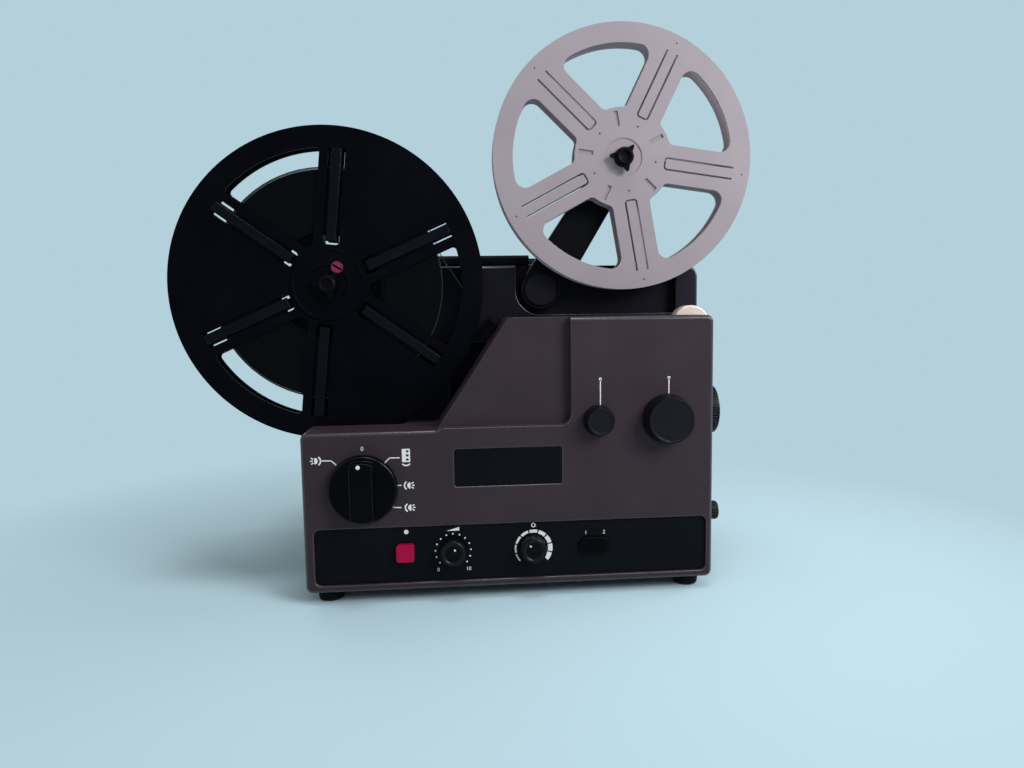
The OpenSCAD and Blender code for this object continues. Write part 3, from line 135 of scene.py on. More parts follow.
class Graph:
    """A finish's node tree, with short calls that add and join nodes."""

    def __init__(self, name: str) -> None:
        """Starts a material with its own shader.

        Args:
            name: The material's name.
        """
        self.material = bpy.data.materials.new(name)
        self.material.use_nodes = True
        self.tree = self.material.node_tree
        self.shader = self.tree.nodes["Principled BSDF"]
        self.coords = self.tree.nodes.new("ShaderNodeTexCoord").outputs["Object"]
        self.normal: Socket | None = None

    def node(self, kind: str, inputs: dict | None = None, **settings: object) -> bpy.types.Node:
        """Adds a node.

        Args:
            kind: The node's class, without its ShaderNode prefix.
            inputs: Sockets or plain values by input name or place.
            settings: The node's own properties.

        Returns:
            The new node.
        """
        made = self.tree.nodes.new("ShaderNode" + kind)
        for name, value in settings.items():
            setattr(made, name, value)
        for name, value in (inputs or {}).items():
            self.put(made.inputs[name], value)
        return made

    def put(self, socket: Socket, value: object) -> None:
        """Joins a socket to another one, or sets its plain value.

        Args:
            socket: The input to fill.
            value: An output, or a plain value.
        """
        if isinstance(value, bpy.types.NodeSocket):
            self.tree.links.new(value, socket)
        else:
            socket.default_value = value

    def set(self, name: str, value: object) -> None:
        """Sets one input of the shader."""
        self.put(self.shader.inputs[name], value)

    def placed(self, centre: Sequence[float] = (0, 0, 0), stretch: Sequence[float] = (1, 1, 1)) -> Socket:
        """Object coordinates about a centre, stretched along each axis."""
        shift = [-c * MM * s for c, s in zip(centre, stretch)]
        return self.node("Mapping", {"Vector": self.coords, "Location": shift, "Scale": stretch}).outputs[0]

    def noise(self, size: float, detail: float = 2.0, coords: Socket | None = None) -> Socket:
        """Soft noise from 0 to 1 with features of a size."""
        inputs = {"Vector": coords or self.coords, "Scale": 1 / (size * MM), "Detail": detail}
        return self.node("TexNoise", inputs).outputs["Fac"]

    def cells(self, size: float) -> Socket:
        """Distance to the nearest of scattered points about a size apart."""
        return self.node("TexVoronoi", {"Vector": self.coords, "Scale": 1 / (size * MM)}).outputs["Distance"]

    def fit(self, value: Socket, low: float, high: float, start: float = 0.0, end: float = 1.0) -> Socket:
        """Maps a value from one range to another and keeps it there."""
        inputs = {"Value": value, "From Min": low, "From Max": high, "To Min": start, "To Max": end}
        return self.node("MapRange", inputs).outputs[0]

    def mix(self, share: Socket, first: object, second: object) -> Socket:
        """Blends two colours.

        Args:
            share: Share of the second one.
            first: A colour or an output.
            second: A colour or an output.

        Returns:
            The blended colour.
        """
        made = self.node("Mix", data_type="RGBA")
        for place, value in ((0, share), (6, first), (7, second)):
            self.put(made.inputs[place], (*value, 1.0) if isinstance(value, tuple) else value)
        return made.outputs[2]

    def bump(self, height: Socket, depth: float) -> None:
        """Raises the surface, over any bump set before.

        Args:
            height: A pattern from 0 to 1.
            depth: Height of the surface where the pattern is 1.
        """
        inputs = {"Height": height, "Distance": depth * MM, "Strength": 1.0}
        if self.normal:
            inputs["Normal"] = self.normal
        self.normal = self.node("Bump", inputs).outputs[0]
        self.set("Normal", self.normal)


@dataclass(frozen=True)
class Finish:
    """A surface finish: moulded plastic with a grain, unless a subclass paints it otherwise.

    Attributes:
        name: The finish's name.
        slot: The record's material slot that the finish belongs to; not used.
        code: The colour.
        worn: The colour where it has faded or holds dust.
        rough: Range of the roughness.
        grain: Size of the grain.
        depth: Depth of the grain.
        specular: Strength of the gloss.
        dust: Share of the worn colour in a speck of dust.
        sheen: What handling adds to the gloss along an edge.
    """

    name: str
    slot: Slot
    code: str
    worn: str
    rough: Range = (0.4, 0.55)
    grain: float = 0.6
    depth: float = 0.03
    specular: float = 0.3
    dust: float = 0.25
    sheen: float = 0.45
    rubbed: ClassVar[Range] = (0.2, 0.3)
    made: ClassVar[dict[str, bpy.types.Material]] = {}

    def material(self) -> bpy.types.Material:
        """Gives the finish's material, made at its first use.

        Returns:
            The material.
        """
        if self.name not in self.made:
            graph = Graph("finish_" + self.name)
            self.paint(graph)
            self.made[self.name] = graph.material
        return self.made[self.name]

    def polished(self) -> "Finish":
        """The same finish as handling leaves it along an edge: smooth, bright and free of dust."""
        gloss = self.specular + self.sheen
        return replace(self, name=self.name + "_edge", rough=self.rubbed, specular=gloss, dust=0.0)

    def tones(self, graph: Graph, pattern: Socket, low: float, high: float, end: float = 1.0) -> Socket:
        """Blends from the colour to the worn one over a range of a pattern, up to a last share."""
        return graph.mix(graph.fit(pattern, low, high, end=end), colour(self.code), colour(self.worn))

    def dusted(self, graph: Graph, base: Socket, gap: float, speck: Range) -> None:
        """Sets the base colour, with specks of dust about a gap apart."""
        specks = graph.fit(graph.cells(gap), *speck, self.dust, 0.0)
        graph.set("Base Color", graph.mix(specks, base, colour(self.worn)))

    def shine(self, graph: Graph, pattern: Socket, low: float, high: float) -> None:
        """Spreads the range of roughness over a range of a pattern."""
        graph.set("Roughness", graph.fit(pattern, low, high, *self.rough))

    def paint(self, graph: Graph) -> None:
        """Paints a plastic whose colour drifts softly, with a grain and specks of dust.

        Args:
            graph: The node tree to paint.
        """
        base = self.tones(graph, graph.noise(size=38.0, detail=3.0), low=0.35, high=0.7, end=0.55)
        self.dusted(graph, base, gap=5.0, speck=(0.03, 0.055))
        self.shine(graph, graph.noise(size=9.0, detail=4.0), low=0.3, high=0.7)
        graph.set("Specular IOR Level", self.specular)
        graph.bump(graph.noise(self.grain, detail=1.0), self.depth)


@dataclass(frozen=True)
class GlossFinish(Finish):
    """A polished plastic with hairline scratches and a few specks of dust."""

    scratch: float = 0.008

    def paint(self, graph: Graph) -> None:
        """Paints smooth plastic with long fine scratches that show in its gloss.

        Args:
            graph: The node tree to paint.
        """
        base = self.tones(graph, graph.noise(size=30.0), low=0.3, high=0.7)
        self.dusted(graph, base, gap=4.0, speck=(0.02, 0.045))
        lines = graph.noise(size=1.2, coords=graph.placed(stretch=(1.0, 1.0, 0.06)))
        self.shine(graph, lines, low=0.3, high=0.75)
        graph.set("Specular IOR Level", self.specular)
        graph.bump(lines, self.scratch)


@dataclass(frozen=True)
class MetalFinish(Finish):
    """A turned or drawn metal with fine tool lines."""

    stretch: Place = (1.0, 0.05, 1.0)

    def paint(self, graph: Graph) -> None:
        """Paints metal with lines along one axis and a slight tarnish.

        Args:
            graph: The node tree to paint.
        """
        stain = graph.noise(size=6.0, detail=4.0)
        graph.set("Base Color", self.tones(graph, stain, low=0.4, high=0.75, end=0.7))
        graph.set("Metallic", 1.0)
        lines = graph.noise(size=0.5, coords=graph.placed(stretch=self.stretch))
        self.shine(graph, lines, low=0.3, high=0.7)
        graph.bump(lines, self.depth)


@dataclass(frozen=True)
class WoundFinish(Finish):
    """The side of a roll of film: the edges of its turns, as rings round the hub."""

    centre: Place = (0.0, 0.0, 0.0)

    def paint(self, graph: Graph) -> None:
        """Paints rings whose tone and height change from turn to turn.

        Args:
            graph: The node tree to paint.
        """
        flat = graph.placed(self.centre, (1.0, 0.0, 1.0))
        radius = graph.node("VectorMath", {0: flat}, operation="LENGTH").outputs["Value"]
        line = graph.node("CombineXYZ", {"X": radius}).outputs[0]
        turns = graph.noise(size=0.7, detail=3.0, coords=line)
        graph.set("Base Color", self.tones(graph, turns, low=0.35, high=0.7))
        self.shine(graph, graph.noise(size=3.0, coords=line), low=0.3, high=0.7)
        graph.set("Specular IOR Level", self.specular)
        graph.bump(turns, self.depth)


@dataclass(frozen=True)
class GlassFinish(Finish):
    """Coated lens glass with a trace of haze."""

    coat: float = 0.6
    coat_tint: str = "8f7fd0"

    def paint(self, graph: Graph) -> None:
        """Paints clear glass with a faint tint and a thin coat.

        Args:
            graph: The node tree to paint.
        """
        haze = graph.fit(graph.noise(size=4.0, detail=4.0), low=0.3, high=0.8)
        graph.set("Base Color", graph.mix(haze, colour(self.code), colour(self.worn)))
        graph.set("Transmission Weight", 1.0)
        self.shine(graph, haze, low=0.0, high=1.0)
        graph.set("Coat Weight", self.coat)
        graph.set("Coat Tint", (*colour(self.coat_tint), 1.0))


COVER = Finish(
    "cover", Slot.COVER, "31262c", "382c33", (0.44, 0.58), grain=0.55, depth=0.05, specular=0.16, dust=0.12
)
HOUSING = Finish(
    "housing", Slot.HOUSING, "0f0c16", "15111d", (0.44, 0.6), grain=0.7, depth=0.05, specular=0.08, dust=0.2
)
CAP = replace(HOUSING, name="end_cap", code="1b1822", worn="211e29")
ARM = Finish(
    "arm", Slot.HOUSING, "07060c", "0c0a12", (0.42, 0.56), specular=0.05, dust=0.2, sheen=0.05
)
PIVOT = replace(ARM, name="pivot", code="130f1b", worn="181421", specular=0.08)
PANEL = Finish(
    "panel", Slot.PANEL, "090a0f", "0e0e15", (0.3, 0.44),
    grain=0.4, depth=0.012, specular=0.06, dust=0.2, sheen=0.2,
)
KNOB = Finish("knob", Slot.KNOB, "0e0d13", "15131b", (0.36, 0.5), grain=0.45, depth=0.02, specular=0.12)
SMALL_KNOB = replace(
    KNOB, name="small_knob", code="07070a", worn="0c0c10", rough=(0.34, 0.5), specular=0.06, sheen=0.15
)
SLIDE = replace(KNOB, name="slide", code="040406", worn="08080b", specular=0.04, dust=0.2, sheen=0.06)
SPINDLE = Finish(
    "spindle", Slot.KNOB, "050507", "0b0b0f", (0.32, 0.5), grain=0.5, specular=0.05, dust=0.3, sheen=0.04
)
DIAL = GlossFinish("dial", Slot.KNOB, "020203", "050507", (0.18, 0.32), specular=0.05, dust=0.3, sheen=0.25)
BLACK_REEL = GlossFinish(
    "black_reel", Slot.BLACK_REEL, "030307", "07070d", (0.42, 0.58), specular=0.03, sheen=0.02
)
# The ribs are the reel's own black plastic painted lighter: a painted highlight for the light that the
# raised ribs catch.
REEL_RIB_PAINTED_LIGHTER = GlossFinish(
    "reel_rib_painted_lighter", Slot.BLACK_REEL, "0a0910", "0f0d16", (0.3, 0.45), specular=0.05, sheen=0.12
)
GREY_REEL = Finish(
    "grey_reel", Slot.GREY_REEL, "94888f", "9e9299", grain=1.1, depth=0.015, specular=0.22, dust=0.2
)
FILM_BASE = GlossFinish("film_base", Slot.FILM, "0d0c0f", "241f1d", (0.14, 0.3), specular=0.4, dust=0.15)
FILM_EDGES = WoundFinish(
    "film_edges", Slot.FILM, "020204", "08080c", (0.24, 0.44), depth=0.04, specular=0.05
)
RUBBER = Finish(
    "rubber", Slot.RUBBER, "08080a", "131214", (0.65, 0.85), grain=0.35, depth=0.05, specular=0.1, dust=0.4
)
RED = GlossFinish(
    "record_red", Slot.RED, "a50640", "940336", (0.26, 0.36), specular=0.12, dust=0.1, scratch=0.002
)
CATCH = replace(RED, name="catch", code="72203c", worn="842e4b", rough=(0.26, 0.4))
NYLON = Finish(
    "nylon", Slot.NYLON, "e0cfc4", "cdbbb0", (0.3, 0.45), grain=0.8, depth=0.015, specular=0.4, dust=0.2
)
INK = Finish("legend_ink", Slot.PANEL, "e6e4e2", "cfcccc", (0.55, 0.7), grain=0.25, depth=0.01, dust=0.3)
STEEL = MetalFinish("steel", Slot.STEEL, "b9bbc0", "8e8f94", (0.2, 0.4), depth=0.004)
BLACK_STEEL = MetalFinish("black_steel", Slot.STEEL, "1c1c21", "121216", (0.34, 0.5), depth=0.004)
BRONZE = MetalFinish("bronze", Slot.BRONZE, "b08d57", "7d6238", (0.3, 0.5), depth=0.004)
ALLOY = MetalFinish(
    "alloy", Slot.ALLOY, "8f9298", "6f7278", (0.35, 0.55), depth=0.01, stretch=(1.0, 1.0, 1.0)
)
IRON = MetalFinish(
    "iron", Slot.IRON, "57524c", "3c3733", (0.5, 0.7), depth=0.02, stretch=(1.0, 0.05, 0.05)
)
BOARD = Finish("board", Slot.BOARD, "2f5a38", "3d6e45", (0.3, 0.5), grain=1.5, specular=0.4, dust=0.1)
CONE = Finish(
    "cone_paper", Slot.BOARD, "17151a", "211e24", (0.7, 0.85), grain=0.8, depth=0.06, specular=0.1, dust=0.2
)
RESIN = Finish("switch_resin", Slot.BOARD, "3d2a1c", "4c3624", (0.4, 0.6), grain=1.2, dust=0.1)
GLASS = GlassFinish("lens_glass", Slot.GLASS, "f4f7ff", "e9ecf6", (0.0, 0.03))


def span(node: str) -> tuple[Vector, Vector]:
    """The two corners of a frame node's box."""
    low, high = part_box(node)
    return low / MM, high / MM


def middle(node: str) -> Point:
    """The X and Z of the middle of a frame node's box."""
    low, high = span(node)
    return (low.x + high.x) / 2, (low.z + high.z) / 2


def arc(centre: Point, radius: float, start: float, end: float, steps: int) -> Outline:
    """Points along an arc, both ends included.

    Args:
        centre: The arc's centre.
        radius: Its radius.
        start: Its first angle, anticlockwise from the right.
        end: Its last angle.
        steps: The number of chords.

    Returns:
        The points in order.
    """
    angles = [math.radians(start + (end - start) * i / steps) for i in range(steps + 1)]
    return [(centre[0] + radius * math.cos(a), centre[1] + radius * math.sin(a)) for a in angles]


def band(centre: Point, radii: Point, start: float, end: float, steps: int) -> Outline:
    """The outline of a curved band between two radii."""
    inner, outer = radii
    return arc(centre, outer, start, end, steps) + arc(centre, inner, end, start, steps)


def circle(centre: Point, radius: float, steps: int = Facets.HUB) -> Outline:
    """The corners of a fine polygon round a centre."""
    return arc(centre, radius, 0.0, 360.0, steps)[:-1]


def polar(centre: Point, radius: float, angle: float, aside: float = 0.0) -> Point:
    """A point at a radius along a direction, moved aside to the left of it."""
    c, s = math.cos(math.radians(angle)), math.sin(math.radians(angle))
    return centre[0] + radius * c - aside * s, centre[1] + radius * s + aside * c


def rounded_box(x: Range, z: Range, r: float, steps: int = Steps.CORNER) -> Outline:
    """The outline of a rectangle with round corners."""
    corners = ((x[1] - r, z[1] - r), (x[0] + r, z[1] - r), (x[0] + r, z[0] + r), (x[1] - r, z[0] + r))
    return [p for i, corner in enumerate(corners) for p in arc(corner, r, 90 * i, 90 * i + 90, steps)]


def bar(centre: Point, angle: float, r0: float, r1: float, half: float) -> Outline:
    """The outline of a straight bar that points away from a centre."""
    return [polar(centre, r, angle, side) for r, side in ((r0, -half), (r1, -half), (r1, half), (r0, half))]


def window(hub: Point, radii: Point, half: float, start: float, end: float, fillets: Point) -> Outline:
    """The outline of an opening between two spokes of a reel, with round corners.

    Args:
        hub: The reel's centre.
        radii: Radii of the opening's inner and outer sides.
        half: Half the width of a spoke.
        start: Direction of the first spoke.
        end: Direction of the second spoke.
        fillets: Radii of the inner and the outer corners.

    Returns:
        The outline, anticlockwise.
    """
    (r_in, r_out), (f_in, f_out) = radii, fillets
    aside_in, aside_out = half + f_in, half + f_out
    outer = math.sqrt((r_out - f_out) ** 2 - aside_out**2)
    inner = math.sqrt((r_in + f_in) ** 2 - aside_in**2)
    turn_out = math.degrees(math.atan2(aside_out, outer))
    turn_in = math.degrees(math.atan2(aside_in, inner))
    loop = arc(polar(hub, outer, start, aside_out), f_out, start - 90, start + turn_out, Steps.FILLET)
    loop += arc(hub, r_out, start + turn_out, end - turn_out, Steps.RIM)[1:-1]
    loop += arc(polar(hub, outer, end, -aside_out), f_out, end - turn_out, end + 90, Steps.FILLET)
    loop += arc(polar(hub, inner, end, -aside_in), f_in, end + 90, end + 180 - turn_in, Steps.CORNER)
    loop += arc(hub, r_in, end - turn_in, start + turn_in, Steps.FILLET)[1:-1]
    first = polar(hub, inner, start, aside_in)
    return loop + arc(first, f_in, start + 180 + turn_in, start + 270, Steps.CORNER)


def tongue(hub: Point, angle: float, ends: Point, half: float, wide: float, fillet: float) -> Outline:
    """The outline of a slit that frees a tongue along a spoke on three sides.

    Args:
        hub: The reel's centre.
        angle: Direction of the spoke.
        ends: Radii of the slit's end by the hub and of its two ends by the rim.
        half: Half the width of the tongue.
        wide: Width of the slit.
        fillet: Radius of its outer corners, over its width.

    Returns:
        The outline.
    """
    r_in, r_out = ends
    reach = half + wide
    near, left, right = r_in + fillet, reach - fillet, fillet - reach
    loop = [(r_out, reach), *arc((near, left), fillet, 90, 180, Steps.SLIT)]
    loop += arc((near, right), fillet, 180, 270, Steps.SLIT)
    loop += [(r_out, -reach), (r_out, -half)]
    loop += arc((near, right), fillet - wide, 270, 180, Steps.SLIT)
    loop += arc((near, left), fillet - wide, 180, 90, Steps.SLIT)
    return [polar(hub, r, angle, aside) for r, aside in [*loop, (r_out, half)]]


class Shape:
    """A mesh in millimetres that operators shape, and that ends as a piece in metres.

    Attributes:
        merge: Vertices nearer than this are one.
        flat: Faces that differ by less than this angle are one.
        plane: Vertices nearer than this to a plane lie in it.
        steep: Edges of a front plane that turn by more than this are eased.
        slope: Range of a face's lean to the front at which it counts as a slope.
        digit: Height of the built-in font's numerals at a size of 1.
    """

    merge: ClassVar[float] = 0.002
    flat: ClassVar[float] = 0.4
    plane: ClassVar[float] = 0.01
    steep: ClassVar[float] = 60.0
    slope: ClassVar[Range] = (0.15, 0.985)
    digit: ClassVar[float] = 0.72

    def __init__(self) -> None:
        """Starts an empty mesh."""
        self.bm = bmesh.new()

    def wire(self, points: Sequence[Sequence[float]], closed: bool = True) -> list[bmesh.types.BMEdge]:
        """Adds a line of edges.

        Args:
            points: Points of three coordinates.
            closed: Whether the last point joins the first.

        Returns:
            The edges.
        """
        verts = [self.bm.verts.new(p) for p in points]
        pairs = list(zip(verts, verts[1:])) + ([(verts[-1], verts[0])] if closed else [])
        return [self.bm.edges.new(pair) for pair in pairs]

    def thicken(self, faces: Sequence[bmesh.types.BMFace], depth: float) -> None:
        """Gives faces a thickness along the Y axis.

        Args:
            faces: The faces.
            depth: How far their copies stand off.
        """
        grown = bmesh.ops.extrude_face_region(self.bm, geom=faces)["geom"]
        moved = [g for g in grown if isinstance(g, bmesh.types.BMVert)]
        bmesh.ops.translate(self.bm, verts=moved, vec=(0, depth, 0))

    def slab(self, loops: Sequence[Outline], y0: float, y1: float) -> "Shape":
        """Adds a plate that stands across the Y axis.

        Args:
            loops: Its edge, then the edges of its holes, as X and Z.
            y0: Depth of its front.
            y1: Depth of its back.

        Returns:
            This shape.
        """
        edges = [e for loop in loops for e in self.wire([(x, y0, z) for x, z in loop])]
        filled = bmesh.ops.triangle_fill(self.bm, use_beauty=True, edges=edges, normal=(0, -1, 0))
        self.thicken([g for g in filled["geom"] if isinstance(g, bmesh.types.BMFace)], y1 - y0)
        return self

    def lathe(
        self, profile: Sequence[Point], origin: Sequence[float], steps: int = Facets.HUB, ring: bool = False
    ) -> "Shape":
        """Adds a form turned about the Y axis.

        Args:
            profile: Pairs of a radius and a place along the axis from the origin.
            origin: A point on the axis.
            steps: The number of facets round it.
            ring: Whether the profile closes on itself, as that of a ring does.

        Returns:
            This shape.
        """
        start = Vector(origin)
        edges = self.wire([start + Vector((r, a, 0.0)) for r, a in profile], ring)
        geom = list({v for e in edges for v in e.verts}) + edges
        bmesh.ops.spin(
            self.bm,
            geom=geom,
            cent=start,
            axis=(0, 1, 0),
            angle=math.tau,
            steps=steps,
            use_merge=True,
            use_duplicate=False,
        )
        return self

    def block(self, low: Sequence[float], high: Sequence[float], turn: Matrix) -> "Shape":
        """Adds a box.

        Args:
            low: Its lowest corner.
            high: Its highest corner.
            turn: A matrix that then places it.

        Returns:
            This shape.
        """
        low, high = Vector(low), Vector(high)
        place = Matrix.Translation((low + high) / 2) @ Matrix.Diagonal((*(high - low), 1.0))
        bmesh.ops.create_cube(self.bm, size=1.0, matrix=turn @ place)
        return self

    def digits(self, text: str, centre: Point, height: float, y0: float, y1: float) -> "Shape":
        """Adds plain numerals that stand across the Y axis.

        Args:
            text: The numerals.
            centre: The X and Z of their middle.
            height: Their height.
            y0: Depth of their back.
            y1: Depth of their front.

        Returns:
            This shape.
        """
        curve = bpy.data.curves.new("digits", "FONT")
        curve.body, curve.size = text, height / self.digit
        curve.align_x, curve.align_y = "CENTER", "CENTER"
        curve.resolution_u = 3
        holder = bpy.data.objects.new("digits", curve)
        bpy.context.scene.collection.objects.link(holder)
        mesh = bpy.data.meshes.new_from_object(holder.evaluated_get(bpy.context.evaluated_depsgraph_get()))
        bpy.data.objects.remove(holder)
        before = set(self.bm.faces)
        self.bm.from_mesh(mesh)
        faces = [f for f in self.bm.faces if f not in before]
        verts = list({v for f in faces for v in f.verts})
        stand = Matrix.Translation((centre[0], y0, centre[1])) @ Matrix.Rotation(math.radians(90), 4, "X")
        bmesh.ops.transform(self.bm, matrix=stand, verts=verts)
        self.thicken(faces, y1 - y0)
        return self

    def take(self, node: str) -> "Shape":
        """Adds a merged copy of a frame node, with its flat faces joined.

        Args:
            node: The node.

        Returns:
            This shape.
        """
        bm = self.bm
        bm.from_mesh(frame["nodes"][node].data)
        bmesh.ops.scale(bm, vec=(1 / MM,) * 3, verts=bm.verts)
        bmesh.ops.remove_doubles(bm, verts=bm.verts, dist=self.merge)
        limit = math.radians(self.flat)
        bmesh.ops.dissolve_limit(
            bm, angle_limit=limit, verts=bm.verts, edges=bm.edges, use_dissolve_boundaries=False
        )
        return self

    def trim(self, y: float) -> "Shape":
        """Cuts off everything in front of a depth and closes the cut.

        Args:
            y: The depth.

        Returns:
            This shape.
        """
        geom = [*self.bm.verts, *self.bm.edges, *self.bm.faces]
        cut = bmesh.ops.bisect_plane(
            self.bm, geom=geom, plane_co=(0, y, 0), plane_no=(0, 1, 0), clear_inner=True
        )
        edges = [g for g in cut["geom_cut"] if isinstance(g, bmesh.types.BMEdge)]
        bmesh.ops.triangle_fill(self.bm, use_beauty=True, edges=edges, normal=(0, -1, 0))
        return self

    def ease(self, y: float, width: float) -> "Shape":
        """Rounds the sharp edges of a front plane, and marks them and any slope beside them as worn.

        Args:
            y: Depth of the plane.
            width: Width of the rounding.

        Returns:
            This shape.
        """
        self.bm.normal_update()
        sharp = [e for e in self.bm.edges if e.calc_face_angle(0.0) > math.radians(self.steep)]
        rims = [e for e in sharp if all(abs(v.co.y - y) < self.plane for v in e.verts)]
        bmesh.ops.bevel(
            self.bm,
            geom=rims,
            offset=width,
            affect="EDGES",
            segments=3,
            profile=0.5,
            material=-1,
            clamp_overlap=False,
        )
        self.bm.normal_update()
        low, high = self.slope
        for face in self.bm.faces:
            face.material_index = int(low < abs(face.normal.y) < high)
        return self

    def closed(self, turned: bool) -> bmesh.types.BMesh:
        """Ends the shape.

        Args:
            turned: Whether to merge its seams and point its faces outwards.

        Returns:
            The mesh in metres.
        """
        if turned:
            bmesh.ops.remove_doubles(self.bm, verts=self.bm.verts, dist=self.merge)
            bmesh.ops.recalc_face_normals(self.bm, faces=self.bm.faces)
        bmesh.ops.scale(self.bm, vec=(MM,) * 3, verts=self.bm.verts)
        return self.bm


@dataclass
class SubAssembly:
    """A group of pieces that are made and dressed together.

    Attributes:
        pieces: The number of pieces made or dressed so far.
        crease: Edges that turn by more than this keep a crease.
        corner: Edges that turn by more than this are rounded.
    """

    pieces: int = field(default=0, init=False)
    crease: ClassVar[float] = 38.0
    corner: ClassVar[float] = 32.0

    def piece(
        self,
        shape: Shape,
        name: str,
        finish: Finish,
        body: str,
        nodes: Sequence[str] = (),
        edge: float = 0.0,
        copied: bool = False,
    ) -> None:
        """Ends a shape as a piece of the object.

        Args:
            shape: The mesh.
            name: The piece's name.
            finish: Its finish.
            body: The body that it rides on.
            nodes: The frame nodes that it stands for.
            edge: Rounding of its sharp edges.
            copied: Whether the mesh is a copy of a node, whose faces point the right way.
        """
        mesh = bpy.data.meshes.new(name)
        bm = shape.closed(not copied)
        bm.to_mesh(mesh)
        bm.free()
        mesh.polygons.foreach_set("use_smooth", [True] * len(mesh.polygons))
        mesh.set_sharp_from_angle(angle=math.radians(self.crease))
        mesh.materials.append(finish.material())
        if edge or any(face.material_index for face in mesh.polygons):
            mesh.materials.append(finish.polished().material())
        made = bpy.data.objects.new(name, mesh)
        bpy.context.scene.collection.objects.link(made)
        if edge:
            rounding = made.modifiers.new("edge", "BEVEL")
            rounding.width, rounding.segments = edge * MM, 2
            rounding.limit_method, rounding.angle_limit = "ANGLE", math.radians(self.corner)
            rounding.harden_normals = True
            rounding.material = 1
        even = made.modifiers.new("normals", "WEIGHTED_NORMAL")
        even.keep_sharp = True
        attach(made, body)
        if nodes:
            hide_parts(*nodes)
        self.pieces += 1
        LOG.info("%s: %d faces on %s", name, len(mesh.polygons), body)

    def stand_in(
        self, shape: Shape, node: str, finish: Finish, edge: float = 0.0, copied: bool = False
    ) -> None:
        """Ends a shape as the piece that stands for a node."""
        self.piece(shape, node + "_dressed", finish, NODE_BODY[node], (node,), edge, copied)

    def soften(self, node: str, finish: Finish, edge: float) -> None:
        """Stands for a node with a copy whose edges are rounded."""
        self.stand_in(Shape().take(node), node, finish, edge, copied=True)

    def rub(self, node: str, finish: Finish, edge: float) -> None:
        """Stands for a shell with a copy whose front edges are rounded and rubbed bright."""
        shape = Shape().take(node).ease(span(node)[0].y, edge)
        self.stand_in(shape, node, finish, edge / 2, copied=True)

    def dress(self, finish: Finish, *nodes: str) -> None:
        """Gives frame nodes that keep their shape a finish.

        Args:
            finish: The finish.
            nodes: The nodes.
        """
        for node in nodes:
            shown = frame["nodes"][node]
            shown.data.materials.clear()
            shown.data.materials.append(finish.material())
            self.pieces += 1
            LOG.info("%s: dressed as %s", node, finish.name)

    def build(self) -> None:
        """Makes every piece of the group."""
        raise NotImplementedError


@dataclass
class Case(SubAssembly):
    """Housing, covers, feet and what they are screwed to."""

    shell_edge: float = 0.7
    base_edge: float = 0.5
    foot_edge: float = 1.0
    screw_edge: float = 0.25
    socket_edge: float = 0.3

    def build(self) -> None:
        """Makes the shells, then dresses what stands inside them."""
        self.rub("rear_housing", HOUSING, self.shell_edge)
        self.rub("end_cap", CAP, self.shell_edge)
        self.soften("back_cover", HOUSING, self.shell_edge)
        self.soften("base_plate", HOUSING, self.base_edge)
        self.soften("rubber_feet", RUBBER, self.foot_edge)
        self.soften("cover_screws", STEEL, self.screw_edge)
        self.soften("rear_sockets", KNOB, self.socket_edge)
        self.dress(ALLOY, "chassis_plate")
        self.dress(STEEL, "cover_posts")


@dataclass(frozen=True)
class LampSign:
    """A printed lamp that shines in a direction: a mirror, a half disc and three rays."""

    mirror: Point = (2.5, 3.4)
    mirror_sweep: Range = (122.0, 238.0)
    bulb_r: float = 2.1
    bulb_shift: float = 0.9
    ray: Point = (1.9, 3.6)
    ray_half: float = 0.36
    ray_turns: tuple[float, ...] = (-34.0, 0.0, 34.0)

    def outlines(self, centre: Point, way: float) -> list[Outline]:
        """Draws the sign.

        Args:
            centre: Its middle.
            way: The direction that the lamp shines in.

        Returns:
            The outlines to print.
        """
        start, end = (way + turn for turn in self.mirror_sweep)
        bulb = arc(polar(centre, self.bulb_shift, way), self.bulb_r, way + 90, way + 270, Steps.SIGN)
        rays = [bar(centre, way + turn, *self.ray, self.ray_half) for turn in self.ray_turns]
        return [band(centre, self.mirror, start, end, Steps.SIGN), bulb, *rays]


@dataclass(frozen=True)
class FilmSign:
    """A printed length of film with its row of holes, and an arc below it."""

    half: Point = (2.6, 4.3)
    corner_r: float = 0.5
    hole_x: Range = (-0.1, 1.7)
    hole_half: float = 0.75
    hole_r: float = 0.4
    hole_rise: tuple[float, ...] = (-2.7, 0.0, 2.7)
    arc_drop: float = 3.2
    arc_radii: Point = (2.9, 3.8)
    arc_sweep: Range = (222.0, 318.0)

    def strip(self, centre: Point) -> list[Outline]:
        """Draws the film.

        Args:
            centre: Its middle.

        Returns:
            Its edge and the edges of its holes.
        """
        x, z = centre
        wide, high = self.half
        loops = [rounded_box((x - wide, x + wide), (z - high, z + high), self.corner_r, Steps.HOLE)]
        across = (x + self.hole_x[0], x + self.hole_x[1])
        for rise in self.hole_rise:
            along = (z + rise - self.hole_half, z + rise + self.hole_half)
            loops.append(rounded_box(across, along, self.hole_r, Steps.HOLE))
        return loops

    def below(self, centre: Point) -> Outline:
        """The outline of the arc below the film."""
        return band((centre[0], centre[1] - self.arc_drop), self.arc_radii, *self.arc_sweep, Steps.SIGN)


